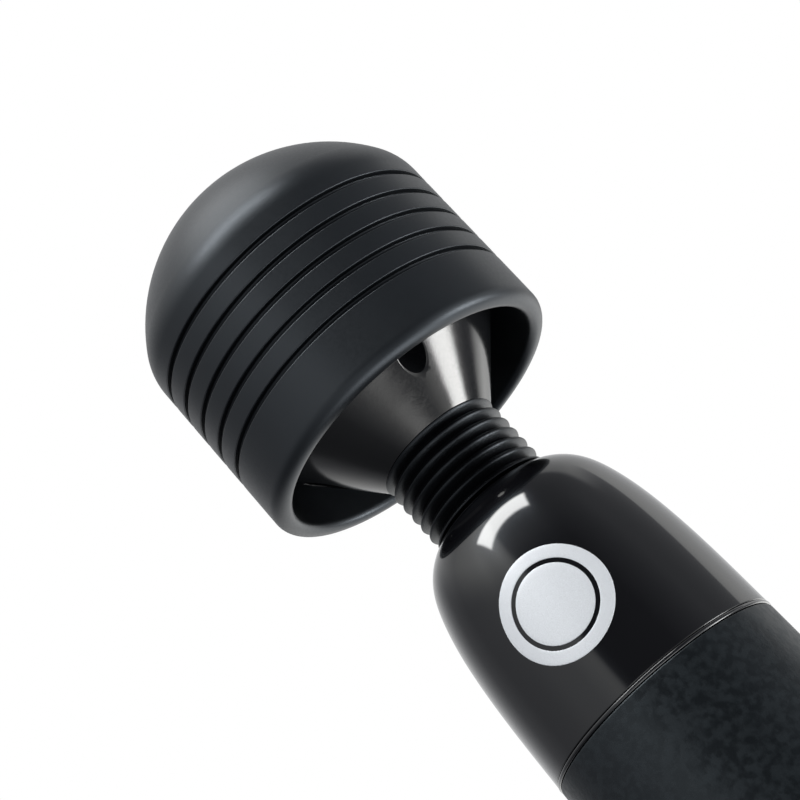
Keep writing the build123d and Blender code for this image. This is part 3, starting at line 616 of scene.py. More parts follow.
def coupling_rubber():
    """Grey rubber of the drive coupling and the motor's band."""
    dark, light = (0.040, 0.040, 0.042), (0.060, 0.060, 0.063)
    return plain("coupling_rubber", dark, light, 0, (0.55, 0.7), 0.25 * MM, 0.02 * MM)


def wire():
    """Insulation of the leads."""
    dark, light = (0.30, 0.020, 0.016), (0.38, 0.030, 0.024)
    return plain("wire", dark, light, 0, (0.34, 0.44), 0.5 * MM, 0.006 * MM)


def socket_black():
    """Glass-filled plastic of the charging socket."""
    dark, light = (0.010, 0.010, 0.011), (0.016, 0.016, 0.017)
    return plain("socket_black", dark, light, 0, (0.34, 0.48), 0.2 * MM, 0.008 * MM)


def floor_pale():
    """Pale matt paper under the wand."""
    dark, light = (0.50, 0.50, 0.50), (0.52, 0.52, 0.52)
    return plain("floor_pale", dark, light, 0, (0.8, 0.9), 1 * MM, 0.01 * MM, 40 * MM)


MAKERS = (
    silicone_black, gloss_black, soft_grip, bellows_rubber, silver, button_rubber, lens, pad_rubber, steel,
    zinc_weight, spring_steel, inner_plastic, board, component, copper, magnet, carbon, cell_wrap, bronze,
    coupling_rubber, wire, socket_black,
)
MATERIALS = {make.__name__: make() for make in MAKERS}


def finish_cad_nodes():
    """Gives every node of the frame the material of its own slot."""
    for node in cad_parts.values():
        for place in node.material_slots:
            place.material = MATERIALS[place.material.name.split(".")[0]]


# ---- head ----
def dome(radius, corner, crown, corner_z):
    """Corners from the axis over the crown and the corner arc down to the side."""
    lean = (radius - corner) / (crown - corner)
    crown_z = corner_z - sqrt((crown - corner) ** 2 - (radius - corner) ** 2)
    join = np.degrees(np.arccos(lean))
    over = arc((0, crown_z), crown, 90, join, 30)
    round_corner = arc((radius - corner, corner_z), corner, join, 0, 20)
    return over + round_corner[1:]


def cap_silicone():
    """Soft cap with five rounded grooves and a full-round lip."""
    corner_z = HEAD_TOP - CORNER_BELOW_TOP
    corners = dome(HEAD_RADIUS, CORNER_RADIUS, CROWN_RADIUS, corner_z)
    floor = HEAD_RADIUS - GROOVE_DEPTH
    for k in reversed(range(GROOVE_COUNT)):
        middle = RIM_Z + FIRST_GROOVE_ABOVE_RIM + k * GROOVE_PITCH
        high, low = middle + GROOVE_WIDTH / 2, middle - GROOVE_WIDTH / 2
        corners += [
            (HEAD_RADIUS, high, GROOVE_EDGE),
            (floor, high, GROOVE_FLOOR),
            (floor, low, GROOVE_FLOOR),
            (HEAD_RADIUS, low, GROOVE_EDGE),
        ]
    inner = HEAD_RADIUS - CAP_WALL
    corners += [(HEAD_RADIUS, RIM_Z, LIP_OUTER), (inner, RIM_Z, LIP_INNER)]
    corners += reversed(dome(inner, CORNER_RADIUS - CAP_WALL, CROWN_RADIUS - CAP_WALL, corner_z))
    piece = turned("cap_silicone", rounded(corners, closed=False, steps=8), closed=False)
    dress(piece, "silicone_black", "head", "head_cap")


def cone_surface(x, y):
    """Height of the cone's outer surface over a point of its plan."""
    return NECK_TOP_Z + (sqrt(x * x + y * y) - CONE_MOUTH_RADIUS) / CONE_SLOPE


def pocket_cutter(angle):
    """Upright cutter for one screw pocket, flared where it meets the cone."""
    centre_x = POCKET_CIRCLE * cos(radians(angle))
    centre_y = POCKET_CIRCLE * sin(radians(angle))

    def ring(radius, height=None, above=0.0):
        loop = []
        for a in round_angles(64):
            x, y = centre_x + radius * cos(a), centre_y + radius * sin(a)
            loop.append((x, y, height if height else cone_surface(x, y) + above))
        return loop

    loops = [ring(POCKET_RADIUS, POCKET_FLOOR_Z), ring(POCKET_RADIUS, above=POCKET_EDGE * 2)]
    for grow, above in edge_turn(POCKET_EDGE, FLARE_TURN, 7):
        loops.append(ring(POCKET_RADIUS + grow, above=above))
    loops.append(ring(POCKET_RADIUS + POCKET_EDGE, above=-POCKET_EDGE / 2))
    loops.append(ring(POCKET_RADIUS + POCKET_EDGE, above=-10 * POCKET_EDGE))
    return loops_mesh("pocket_cutter", loops)


def cone_piece():
    """Gloss cone with a thick rim for the screw pockets, in its own finish on the node's slot."""
    hub_bore = 6.6 * MM
    hub_z = (NECK_TOP_Z + 5.4 * MM, NECK_TOP_Z + 6.9 * MM)
    rim_bore = 14.6 * MM
    wide_z = NECK_TOP_Z + (CONE_WIDE_RADIUS - CONE_MOUTH_RADIUS) / CONE_SLOPE
    corners = [(NECK_SOCKET_BORE, NECK_TOP_Z, 0.1 * MM), (CONE_MOUTH_RADIUS, NECK_TOP_Z, 0.25 * MM)]
    rows = 30
    for k in range(1, rows):
        share = k / rows
        radius = CONE_MOUTH_RADIUS + (CONE_WIDE_RADIUS - CONE_MOUTH_RADIUS) * share
        corners.append((radius, NECK_TOP_Z + (wide_z - NECK_TOP_Z) * share, 0))
    corners += [
        (CONE_WIDE_RADIUS, wide_z, 0),
        (CONE_WIDE_RADIUS, FLANGE_Z, 0),
        (rim_bore, FLANGE_Z, 0),
        (rim_bore, hub_z[1], 0),
        (hub_bore, hub_z[1], 0),
        (hub_bore, hub_z[0], 0),
        (NECK_SOCKET_BORE, hub_z[0], 0),
    ]
    piece = turned("cone_gloss", rounded(corners))
    for angle in POCKET_ANGLES:
        carve(piece, pocket_cutter(angle))
    dress(piece, "gloss_black", "head", "head_cone", sharp=28)
    piece.data.materials[0] = cone_gloss()


# ---- neck ----
def crest_z(k):
    """Height of the crest of ridge k, counted down from the cone."""
    return NECK_TOP_Z - 0.12 * MM - k * RIDGE_PITCH


SPLIT_Z = crest_z(SPLIT_RIDGE) - RIDGE_PITCH / 2


def ridge(k):
    """Corners over one ridge, from the valley above it to the one below."""
    half = RIDGE_PITCH / 2
    corners = []
    for step in range(-7, 8):
        share = step / 7
        fall = sqrt(share * share + CREST_ROUNDNESS**2) - CREST_ROUNDNESS
        bulge = 1 - fall / (sqrt(1 + CREST_ROUNDNESS**2) - CREST_ROUNDNESS)
        corners.append((RIDGE_RADIUS - RIDGE_DEPTH * (1 - bulge), crest_z(k) - half * share, 0))
    return corners


def bellows_half(name, ridges, top, bottom):
    """One half of the ridged sleeve, which bends between two bodies."""
    corners = [(SLEEVE_BORE, top, 0)]
    for k in ridges:
        corners += [c for c in ridge(k) if bottom - 1e-6 <= c[1] <= top + 1e-6]
    corners.append((SLEEVE_BORE, bottom, 0))
    inner_rows = 10
    for k in range(1, inner_rows):
        corners.append((SLEEVE_BORE, bottom + (top - bottom) * k / inner_rows, 0))
    outline = []
    for radius, z, _ in corners:
        point = Vector((radius, z))
        if not outline or (point - outline[-1]).length > 1e-6:
            outline.append(point)
    piece = turned(name, outline)
    dress(piece, "bellows_rubber", None, "neck_bellows", sharp=60)
    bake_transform(piece)


def spring_half(name, low, high):
    """One half of the coil spring, which bends between two bodies."""
    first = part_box("neck_spring")[0].z + SPRING_WIRE
    steps = int((high - low) / SPRING_PITCH * 48)
    slope = SPRING_PITCH / tau
    loops = []
    for step in range(steps + 1):
        z = low + (high - low) * step / steps
        angle = tau * (z - first) / SPRING_PITCH
        out = Vector((cos(angle), sin(angle), 0))
        along = Vector((-SPRING_RADIUS * sin(angle), SPRING_RADIUS * cos(angle), slope)).normalized()
        side = along.cross(out)
        centre = out * SPRING_RADIUS + Vector((0, 0, z))
        loops.append([centre + (out * cos(a) + side * sin(a)) * SPRING_WIRE for a in round_angles(14)])
    piece = loops_mesh(name, loops)
    dress(piece, "spring_steel", None, "neck_spring", sharp=60)
    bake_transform(piece)


def coupling_half(name, low, high):
    """One half of the flexible drive tube, which bends between two bodies."""
    outer, inner = COUPLING_RADII
    rows = 12
    side = [(outer, low + (high - low) * k / rows, 0) for k in range(rows + 1)]
    back = [(inner, z, 0) for _, z, _ in reversed(side)]
    piece = turned(name, rounded(side + back), segments=64)
    dress(piece, "coupling_rubber", None, "drive_coupling", sharp=60)
    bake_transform(piece)


def neck_pieces():
    """Bellows, spring and coupling, each as a lower and an upper half that meet in a valley."""
    top = NECK_TOP_Z - 0.08 * MM
    bottom = NECK_BOTTOM_Z + 0.1 * MM
    bellows_half("bellows_upper", range(0, SPLIT_RIDGE + 1), top, SPLIT_Z)
    bellows_half("bellows_lower", range(SPLIT_RIDGE + 1, RIDGE_COUNT), SPLIT_Z, bottom)
    spring_low, spring_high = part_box("neck_spring")
    spring_half("spring_lower", spring_low.z + SPRING_WIRE, SPLIT_Z)
    spring_half("spring_upper", SPLIT_Z, spring_high.z - SPRING_WIRE)
    tube_low, tube_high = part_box("drive_coupling")
    coupling_half("coupling_lower", tube_low.z, SPLIT_Z)
    coupling_half("coupling_upper", SPLIT_Z, tube_high.z)


# ---- handle ----
def shoulder_piece():
    """Gloss shoulder with its neck socket and spigot."""
    floor_bore = 6.7 * MM
    floor_z = (239.8 * MM, 241.6 * MM)
    spigot_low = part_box("shoulder_shell")[0].z
    spigot_bore = SPIGOT_RADIUS - 1.6 * MM
    wall_z = (SHOULDER_BOTTOM_Z + 2.5 * MM, 237.0 * MM)
    inside = [(radius, z, 0) for radius, z, _ in handle_path(wall_z[1], wall_z[0], 3 * MM, -SHELL_WALL)]
    corners = [
        (NECK_SOCKET_BORE, NECK_BOTTOM_Z, 0.1 * MM),
        (handle_radius(NECK_BOTTOM_Z), NECK_BOTTOM_Z, 0.12 * MM),
    ]
    corners += handle_path(NECK_BOTTOM_Z, SHOULDER_BOTTOM_Z, 0.8 * MM)
    corners += [
        (handle_radius(SHOULDER_BOTTOM_Z), SHOULDER_BOTTOM_Z, 0.2 * MM),
        (SPIGOT_RADIUS, SHOULDER_BOTTOM_Z, 0),
        (SPIGOT_RADIUS, spigot_low, 0.3 * MM),
        (spigot_bore, spigot_low, 0.3 * MM),
        (spigot_bore, SHOULDER_BOTTOM_Z + 1.5 * MM, 0),
    ]
    corners += reversed(inside)
    corners += [(floor_bore, floor_z[0], 0), (floor_bore, floor_z[1], 0), (NECK_SOCKET_BORE, floor_z[1], 0)]
    piece = turned("shoulder_gloss", rounded(corners))
    dress(piece, "gloss_black", "handle", "shoulder_shell")


def badge_pieces():
    """Plain silver disc inside a ring, laid on the shoulder."""
    soft_edge = 0.07 * MM
    radii = [(0.0, BADGE_PROUD)]
    radii += [(BADGE_DISC_RADIUS * k / 8, BADGE_PROUD) for k in range(1, 8)]
    radii += edge_steps(BADGE_DISC_RADIUS, -1, BADGE_PROUD, soft_edge)
    loops = [skin_loop(circle(radius, BADGE_Z), proud) for radius, proud in radii]
    loops.append(skin_loop(circle(0, BADGE_Z), BELOW_SKIN))
    disc = loops_mesh("badge_disc", loops)
    dress(disc, "silver", "handle", "badge")
    inner, outer = BADGE_RING
    steps = list(reversed(edge_steps(inner, 1, BADGE_PROUD, soft_edge)))
    steps += [(inner + (outer - inner) * k / 4, BADGE_PROUD) for k in range(1, 4)]
    steps += edge_steps(outer, -1, BADGE_PROUD, soft_edge)
    loops = [skin_loop(circle(radius, BADGE_Z), proud) for radius, proud in steps]
    ring = loops_mesh("badge_ring", loops, True)
    dress(ring, "silver", "handle", "badge")


def edge_steps(radius, inward, proud, soft):
    """(radius, proud) steps over a rounded edge and into the skin.

    inward is -1 at an outer edge and 1 at an inner one.
    """
    steps = [(radius + inward * back, proud - down) for down, back in edge_turn(soft, 90, 4)]
    steps.append((radius, BELOW_SKIN))
    return steps


def skin_loop(points, proud):
    """Loop of (x, z) points laid on the handle's form."""
    return [on_skin(x, z, proud) for x, z in points]


def trim_ring(name, node):
    """Thin gloss bead round the handle."""
    low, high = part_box(node)[0].z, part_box(node)[1].z
    inner = SPIGOT_RADIUS + 0.05 * MM
    outer = handle_radius((low + high) / 2) + RING_PROUD
    bead = 0.33 * MM
    corners = [(inner, low, 0), (outer, low, bead), (outer, high, bead), (inner, high, 0)]
    piece = turned(name, rounded(corners))
    dress(piece, "gloss_black", "handle", node)


def skin_cutter(outline, edge, depth, surface, reach, rows):
    """Cutter down to a depth below the skin, flared at a proud surface. outline(grow) gives its points."""
    loops = [skin_loop(outline(0), -depth), skin_loop(outline(0), surface - 2 * edge)]
    for grow, down in edge_turn(edge, FLARE_TURN, rows):
        loops.append(skin_loop(outline(grow), surface - down))
    mouth = outline(edge * 1.1)
    loops += [skin_loop(mouth, surface + edge), skin_loop(mouth, surface + reach)]
    return loops_mesh("cutter", loops)


def window_cutter(width, low, high, edge):
    """Slot-shaped cutter for the panel's window in the grip."""
    return skin_cutter(
        lambda grow: stadium(width + 2 * grow, low - grow, high + grow), edge, 4 * MM, 0.0, 6 * MM, 6
    )


def grip_piece():
    """Grained sleeve with rolled ends and a window for the control panel."""
    end = 0.35 * MM
    outer = handle_path(GRIP_HIGH, GRIP_LOW, 2.5 * MM)
    inner = handle_path(GRIP_HIGH, GRIP_LOW, 6 * MM, -GRIP_THICKNESS)
    corners = [(handle_radius(GRIP_HIGH), GRIP_HIGH, end), *outer, (handle_radius(GRIP_LOW), GRIP_LOW, end)]
    corners += [(handle_radius(GRIP_LOW) - GRIP_THICKNESS, GRIP_LOW, 0)]
    corners += reversed(inner)
    corners += [(handle_radius(GRIP_HIGH) - GRIP_THICKNESS, GRIP_HIGH, 0)]
    piece = turned("grip_leather", rounded(corners))
    room = 0.15 * MM
    carve(piece, window_cutter(BEZEL_WIDTH + 2 * room, BEZEL_LOW - room, BEZEL_HIGH + room, 0.3 * MM))
    dress(piece, "soft_grip", "handle", "grip_sleeve")


def hole_cutter(radius, z, edge):
    """Round cutter for a hole in the panel."""
    return skin_cutter(lambda grow: circle(radius + grow, z), edge, 3 * MM, BEZEL_PROUD, 4 * MM, 5)


def bezel_piece():
    """Gloss control panel with a rounded edge and holes for the buttons and the indicator."""
    edge = 0.2 * MM
    half = BEZEL_WIDTH / 2
    middle = 0.02
    loops = []
    for share in (middle, 0.35, 0.7, 1.0):
        inset = half * (1 - share)
        outline = stadium(BEZEL_WIDTH * share, BEZEL_LOW + inset, BEZEL_HIGH - inset)
        loops.append(skin_loop(outline, -GRIP_THICKNESS))
    steps = [(inset, BEZEL_PROUD - down) for inset, down in edge_turn(edge, 90, 5)]
    face_rows = 12
    for k in range(1, face_rows + 1):
        steps.append((edge + (half * (1 - middle) - edge) * k / face_rows, BEZEL_PROUD))
    for inset, proud in steps:
        outline = stadium(BEZEL_WIDTH - 2 * inset, BEZEL_LOW + inset, BEZEL_HIGH - inset)
        loops.append(skin_loop(outline, proud))
    piece = loops_mesh("bezel_gloss", loops)
    for z in BUTTON_Z.values():
        carve(piece, hole_cutter(BUTTON_RADIUS + BUTTON_GAP, z, 0.15 * MM))
    carve(piece, hole_cutter(INDICATOR_RADIUS, INDICATOR_Z, 0.1 * MM))
    dress(piece, "gloss_black", "handle", "control_bezel")


def flat_loop(radius, z, y):
    """Circle in a plane of constant depth."""
    return [(x, y, height) for x, height in circle(radius, z)]


def button_piece(name):
    """Button with a dished face, its keeping flange and its stem."""
    z = BUTTON_Z[name]
    face = ((0.0, 0.60), (1.3, 0.605), (2.5, 0.63), (3.4, 0.69), (4.1, 0.78), (4.5, 0.82))
    loops = [skin_loop(circle(radius * MM, z), proud * MM) for radius, proud in face]
    edge, crest = 0.45 * MM, 0.84 * MM
    for down, back in edge_turn(edge, 90, 6):
        loops.append(skin_loop(circle(BUTTON_RADIUS - back, z), crest - down))
    loops.append(skin_loop(circle(BUTTON_RADIUS, z), -1.6 * MM))
    flange_radius, stem_radius = 6.2 * MM, 1.8 * MM
    flange_front, flange_back, stem_end = -21.2 * MM, -20.2 * MM, -15.1 * MM
    loops += [flat_loop(radius, z, flange_front) for radius in (BUTTON_RADIUS, flange_radius)]
    loops += [flat_loop(radius, z, flange_back) for radius in (flange_radius, stem_radius)]
    loops += [flat_loop(radius, z, stem_end) for radius in (stem_radius, 0)]
    piece = loops_mesh("button_cap_" + name, loops)
    dress(piece, "button_rubber", name + "_button", "button_" + name)


def inlay(name, outline, body):
    """Thin raised mark on a button's face, from an outline of (x, z) points."""
    levels = (0.50 * MM, 0.66 * MM, 0.68 * MM)
    middle_x = sum(x for x, _ in outline) / len(outline)
    middle_z = sum(z for _, z in outline) / len(outline)
    loops = [skin_loop(outline, level) for level in levels[:2]]
    inset = [(middle_x + (x - middle_x) * 0.985, middle_z + (z - middle_z) * 0.985) for x, z in outline]
    loops.append(skin_loop(inset, levels[2]))
    piece = loops_mesh(name, loops)
    form = bmesh.new()
    form.from_mesh(piece.data)
    bmesh.ops.triangulate(form, faces=[face for face in form.faces if len(face.verts) > 4])
    form.to_mesh(piece.data)
    form.free()
    dress(piece, "silver", body)


def bar(width, height, x, z):
    """Rectangle outline with clipped corners."""
    clip = min(width, height) * 0.3
    a, b = width / 2, height / 2
    shape = ((a, b - clip), (a - clip, b), (clip - a, b), (-a, b - clip))
    top = [(x + u, z + v) for u, v in shape]
    bottom = [(x - u, z - v) for u, v in shape]
    return top + bottom


def button_marks():
    """Generic symbols: a broken ring with a bar, a minus and a plus."""
    stroke = 0.42 * MM
    z = BUTTON_Z["power"]
    inner, outer = 1.35 * MM, 1.35 * MM + stroke
    sweep = [radians(125 + 290 * k / 24) for k in range(25)]
    ring = [(outer * cos(a), z + outer * sin(a)) for a in sweep]
    ring += [(inner * cos(a), z + inner * sin(a)) for a in reversed(sweep)]
    inlay("mark_power_ring", ring, "power_button")
    inlay("mark_power_bar", bar(stroke, 1.5 * MM, 0, z + 1.15 * MM), "power_button")
    inlay("mark_minus", bar(3.4 * MM, stroke, 0, BUTTON_Z["minus"]), "minus_button")
    z = BUTTON_Z["plus"]
    half, thin = 1.7 * MM, stroke / 2
    quarter = ((thin, thin), (thin, half), (-thin, half), (-thin, thin), (-half, thin), (-half, -thin))
    plus = [(x, z + v) for x, v in quarter] + [(-x, z - v) for x, v in quarter]
    inlay("mark_plus", plus, "plus_button")


def lens_piece():
    """Small domed light pipe in the panel."""
    face = ((0.0, 0.34), (0.5, 0.32), (0.9, 0.25), (1.15, 0.12), (1.26, -0.05), (1.27, -0.4))
    loops = [skin_loop(circle(radius * MM, INDICATOR_Z, 48), proud * MM) for radius, proud in face]
    back_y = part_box("indicator_lens")[1].y
    loops += [[(x, back_y, z) for x, z in circle(radius * MM, INDICATOR_Z, 48)] for radius in (1.27, 0.0)]
    piece = loops_mesh("indicator_dome", loops)
    dress(piece, "lens", "handle", "indicator_lens")


def well_cutter(x):
    """Stepped cutter for one screw well in the foot."""
    steps = ((2.6, -1.0), (2.6, 2.4), (1.4, 2.4), (1.4, 6.0))
    angles = round_angles(48)
    loops = [[(x + r * MM * cos(a), r * MM * sin(a), z * MM) for a in angles] for r, z in steps]
    return loops_mesh("well_cutter", loops)


def end_cap_piece():
    """Gloss cap at the foot, with the pad's groove, the inlet's hole and two screw wells."""
    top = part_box("trim_ring_lower")[0].z - 0.05 * MM
    cap_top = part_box("end_cap")[1].z
    pad = (14.0 * MM, 15.6 * MM)
    groove_z = 1.7 * MM
    inlet = 4.1 * MM
    floor_z = 4.0 * MM
    floor_radius = 17.4 * MM
    wall_z = (10 * MM, top - 5 * MM)
    well_x = 11 * MM
    spigot = (17.6 * MM, 19.4 * MM)
    last = HANDLE_LINE[-1]
    corners = [(handle_radius(top), top, 0.2 * MM)]
    corners += handle_path(top, last[1], 1.5 * MM)
    corners += arc_through((last[0], last[1]), FOOT_MIDDLE, (FOOT_RADIUS, FOOT_Z), 14)
    corners += [
        (pad[1], FOOT_Z, 0.15 * MM),
        (pad[1], groove_z, 0),
        (pad[0], groove_z, 0),
        (pad[0], FOOT_Z, 0.15 * MM),
        (inlet, FOOT_Z, 0.35 * MM),
        (inlet, floor_z, 0),
        (floor_radius, floor_z, 0),
    ]
    corners += reversed(handle_path(wall_z[1], wall_z[0], 5 * MM, -SHELL_WALL))
    corners += [
        (spigot[0], top - 4 * MM, 0),
        (spigot[0], cap_top, 0.2 * MM),
        (spigot[1], cap_top, 0.2 * MM),
        (spigot[1], top, 0),
    ]
    piece = turned("end_cap_gloss", rounded(corners))
    for x in (-well_x, well_x):
        carve(piece, well_cutter(x))
    dress(piece, "gloss_black", "handle", "end_cap")


def foot_pad():
    """Rubber ring under the foot with two shallow grooves."""
    low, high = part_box("base_pad")
    inner, outer = 14.02 * MM, high.x - 0.02 * MM
    width = outer - inner
    groove_z = low.z + 0.12 * MM
    corners = [(inner, high.z, 0), (inner, low.z, 0.15 * MM)]
    for share in (0.3, 0.6):
        start = inner + width * share
        corners += [
            (start, low.z, 0),
            (start + 0.03 * MM, groove_z, 0),
            (start + 0.13 * MM, groove_z, 0),
            (start + 0.16 * MM, low.z, 0),
        ]
    corners += [(outer, low.z, 0.15 * MM), (outer, high.z, 0)]
    piece = turned("foot_pad", rounded(corners, steps=3))
    dress(piece, "pad_rubber", "handle", "base_pad")


def build_wand():
    """Every visible piece of the wand."""
    finish_cad_nodes()
    cap_silicone()
    cone_piece()
    neck_pieces()
    shoulder_piece()
    badge_pieces()
    trim_ring("bead_upper", "trim_ring_upper")
    trim_ring("bead_lower", "trim_ring_lower")
    grip_piece()
    bezel_piece()
    for name in BUTTON_Z:
        button_piece(name)
    button_marks()
    lens_piece()
    end_cap_piece()
    foot_pad()


# ---- studio ----
# Brightness round the wand as (bearing, level) stops: bearing in degrees from +X towards +Y, level against
# a white background of 1. One ring each for level, raised, lowered and straight-down directions.
RING_LOW = (
    (-180, 0.34), (-158, 0.50), (-140, 0.68), (-122, 0.76), (-106, 1.0), (-102, 0.9), (-98, 0.16),
    (-92, 0.08), (-45, 0.11), (-24, 0.24), (-5, 0.38), (16, 0.36), (22, 1.25), (40, 1.1), (52, 0.85),
    (68, 0.66), (80, 0.66), (105, 0.75), (130, 0.68), (142, 0.52), (158, 0.32), (180, 0.34),
)
RING_HIGH = (
    (-180, 0.8), (-160, 1.2), (-147, 1.5), (-136, 1.9), (-124, 1.8), (-112, 2.1), (-106, 1.6),
    (-101, 0.5), (-88, 0.4), (-60, 0.3), (-37, 0.25), (16, 0.32), (24, 0.9), (90, 0.7), (148, 0.75),
    (180, 0.8),
)
RING_DOWN = (
    (-180, 0.12), (-150, 0.2), (-105, 0.85), (-93, 1.1), (-80, 0.9), (-60, 0.28), (-44, 0.33),
    (-29, 0.75), (-14, 1.6), (22, 1.4), (30, 0.6), (38, 0.20), (46, 0.22), (52, 1.5), (62, 2.4),
    (84, 1.8), (120, 1.3), (136, 0.9), (150, 0.45), (165, 0.12), (180, 0.12),
)
RING_FLOOR = (
    (-180, 0.15), (-150, 0.9), (-125, 2.6), (-90, 4.4), (-45, 5.2), (-20, 5.0), (40, 4.6), (65, 3.4),
    (120, 0.9), (142, 0.4), (162, 0.15), (180, 0.15),
)
# Heights in degrees between which each ring, from the floor up, gives way to what is above it.
RING_JOINS = ((-63, -56), (-16, 12), (30, 46), (66, 80))
ZENITH_LEVEL = 3.5
# Softbox overhead, in the slopes x/z and y/z of a direction.
SOFTBOX_CENTRE = (0.035, -0.590)
SOFTBOX_HALF = (0.52, 0.154)
SOFTBOX_TURN = 14.0
SOFTBOX_SOFT = 0.035
SOFTBOX_LEVEL = 16.0
SOFTBOX_LOWEST = 0.05
# Shade on the +X side below the edge plane y = 0.511 x + 0.418 z, faded in over ranges of x, z and y.
SIDE_EDGE = (0.511, 0.418)
SIDE_EDGE_SOFT = 0.02
SIDE_SHADE = 0.36
SIDE_FADE_X = (0.2, 0.35)
SIDE_FADE_LOW = (0.05, 0.15)
SIDE_FADE_HIGH = (0.66, 0.48)
SIDE_FADE_Y = (0.0, 0.1)
PANEL_BEARING = (-2.0, 24.0)
PANEL_HEIGHT = (-48.0, -30.0)
PANEL_SOFT = 3.0
PANEL_LEVEL = 17.0
TINT_LEVELS = (0.15, 1.0)
COOL = (0.92, 0.94, 1.0, 1.0)
WARM = (1.0, 1.0, 0.985, 1.0)


def ring_stops(ring):
    """Ring stops with the bearing as a share of a full turn."""
    return [((bearing + 180) / 360, level) for bearing, level in ring]


def window(s, value, low, high, soft):
    """1 inside a range, falling smoothly to 0 outside it."""
    rise = s.spread(value, low - soft, low + soft, smooth=True)
    fall = s.spread(value, high - soft, high + soft, 1.0, 0.0, smooth=True)
    return s.math("MULTIPLY", rise, fall)


def ring_level(s, bearing, height):
    """Brightness from the rings and the zenith, from the floor up."""
    share = s.math("MULTIPLY_ADD", bearing, 1 / tau, 0.5)
    rings = [s.ramp(share, ring_stops(ring)) for ring in (RING_FLOOR, RING_DOWN, RING_LOW, RING_HIGH)]
    level = rings[0]
    for (low, high), above in zip(RING_JOINS, (*rings[1:], ZENITH_LEVEL)):
        level = s.blend(s.spread(height, low, high, smooth=True), level, above)
    return level


def side_shaded(s, level, x, y, z):
    """The level held down on one side, up to a slanted edge that shows in the gloss."""
    edge = s.math("MULTIPLY_ADD", x, SIDE_EDGE[0], s.math("MULTIPLY", z, SIDE_EDGE[1]))
    short = s.math("SUBTRACT", edge, y)
    shaded = s.spread(short, -SIDE_EDGE_SOFT, SIDE_EDGE_SOFT, smooth=True)
    fades = ((x, SIDE_FADE_X), (z, SIDE_FADE_LOW), (z, SIDE_FADE_HIGH), (y, SIDE_FADE_Y))
    for value, (low, high) in fades:
        shaded = s.math("MULTIPLY", shaded, s.spread(value, low, high, smooth=True))
    return s.blend(shaded, level, s.math("MINIMUM", level, SIDE_SHADE))


def softbox(s, x, y, z):
    """1 inside the turned softbox overhead, 0 elsewhere."""
    rise = s.math("MAXIMUM", z, SOFTBOX_LOWEST)
    across = s.math("SUBTRACT", s.math("DIVIDE", x, rise), SOFTBOX_CENTRE[0])
    along = s.math("SUBTRACT", s.math("DIVIDE", y, rise), SOFTBOX_CENTRE[1])
    turn = radians(SOFTBOX_TURN)
    u = s.math("MULTIPLY_ADD", across, cos(turn), s.math("MULTIPLY", along, sin(turn)))
    v = s.math("MULTIPLY_ADD", along, cos(turn), s.math("MULTIPLY", across, -sin(turn)))
    half_u, half_v = SOFTBOX_HALF
    wide = window(s, u, -half_u, half_u, SOFTBOX_SOFT)
    deep = window(s, v, -half_v, half_v, SOFTBOX_SOFT)
    box = s.math("MULTIPLY", wide, deep)
    return s.math("MULTIPLY", box, s.math("GREATER_THAN", z, SOFTBOX_LOWEST))


def low_panel(s, bearing, height):
    """1 inside the panel below the head that lights the cone, 0 elsewhere."""
    degrees_round = s.math("MULTIPLY", bearing, 360 / tau)
    wide = window(s, degrees_round, *PANEL_BEARING, PANEL_SOFT)
    high = window(s, height, *PANEL_HEIGHT, PANEL_SOFT)
    return s.math("MULTIPLY", wide, high)


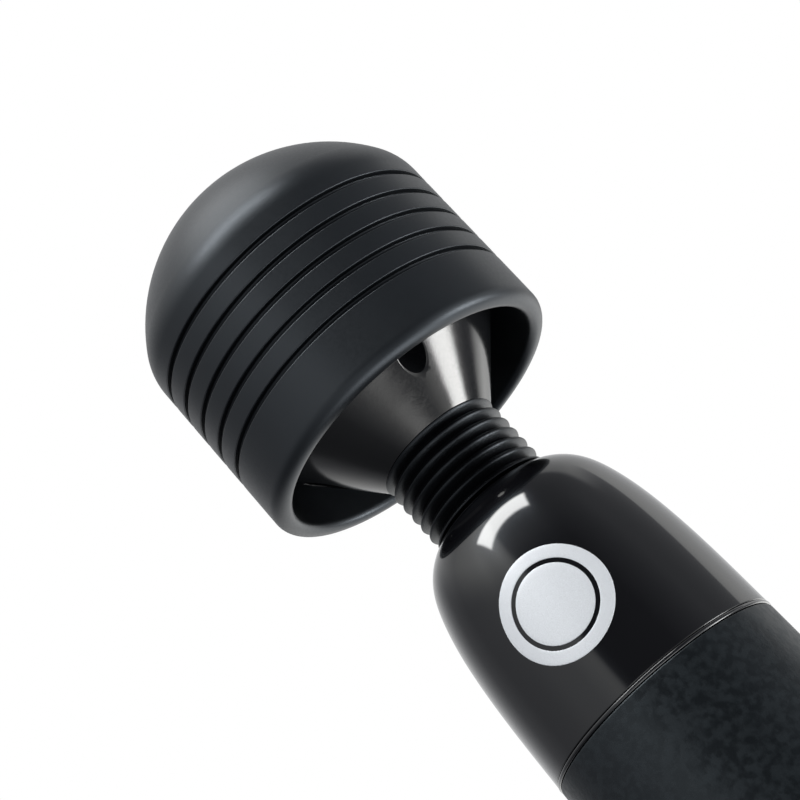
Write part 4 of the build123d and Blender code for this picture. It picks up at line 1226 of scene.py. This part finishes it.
def studio():
    """World that is plain white to the camera and lights the wand by direction alone."""
    world = bpy.data.worlds.new("studio")
    bpy.context.scene.world = world
    world.use_nodes = True
    s = Shader(world.node_tree)
    direction = s.node("ShaderNodeTexCoord").outputs["Generated"]
    x, y, z = s.node("ShaderNodeSeparateXYZ", {0: direction}).outputs
    bearing = s.math("ARCTAN2", y, x)
    height = s.math("MULTIPLY", s.math("ARCSINE", z), 360 / tau)
    level = side_shaded(s, ring_level(s, bearing, height), x, y, z)
    level = s.math("MULTIPLY_ADD", softbox(s, x, y, z), SOFTBOX_LEVEL, level)
    level = s.math("MULTIPLY_ADD", low_panel(s, bearing, height), PANEL_LEVEL, level)
    seen = s.node("ShaderNodeLightPath").outputs["Is Camera Ray"]
    strength = s.blend(seen, level, 1.0)
    tint = s.blend_colour(s.spread(level, *TINT_LEVELS), COOL, WARM)
    colour = s.blend_colour(seen, tint, (1, 1, 1, 1))
    light = s.node("ShaderNodeBackground", {"Color": colour, "Strength": strength})
    s.node("ShaderNodeOutputWorld", {"Surface": light.outputs[0]})


def floor():
    """Plain pale floor that takes the wand's shadow and leaves its lighting to the studio."""
    half = 3.0
    mesh = bpy.data.meshes.new("floor")
    corners = [(-half, -half, 0), (half, -half, 0), (half, half, 0), (-half, half, 0)]
    mesh.from_pydata(corners, [], [(0, 1, 2, 3)])
    mesh.materials.append(floor_pale())
    sheet = bpy.data.objects.new("floor", mesh)
    bpy.context.scene.collection.objects.link(sheet)
    sheet.visible_diffuse = False
    sheet.visible_glossy = False
    sheet.visible_shadow = False


# ---- camera ----
CAMERA_AIM = Vector((0.46, -0.18, 272.84)) * MM
CAMERA_DISTANCE = 421.7 * MM
CAMERA_BEARING = 8.0
CAMERA_LOOK_UP = 21.19
CAMERA_ROLL = -42.1
CAMERA_LENS = 108.7


def camera():
    """Long lens below the head, looking up and rolled so that the wand lies across the frame."""
    level = cos(radians(CAMERA_LOOK_UP))
    look = Vector((-sin(radians(CAMERA_BEARING)) * level, cos(radians(CAMERA_BEARING)) * level, 0))
    look.z = sin(radians(CAMERA_LOOK_UP))
    data = bpy.data.cameras.new("camera")
    data.lens = CAMERA_LENS
    data.sensor_width = 36.0
    data.clip_start = 10 * MM
    data.clip_end = 20.0
    eye = bpy.data.objects.new("camera", data)
    eye.rotation_mode = "QUATERNION"
    eye.location = CAMERA_AIM - look * CAMERA_DISTANCE
    upright = look.to_track_quat("-Z", "Y")
    eye.rotation_quaternion = upright @ Quaternion((0, 0, 1), radians(CAMERA_ROLL))
    bpy.context.scene.collection.objects.link(eye)
    bpy.context.scene.camera = eye


build_wand()
studio()
floor()
camera()
bpy.context.scene.view_settings.view_transform = "Standard"
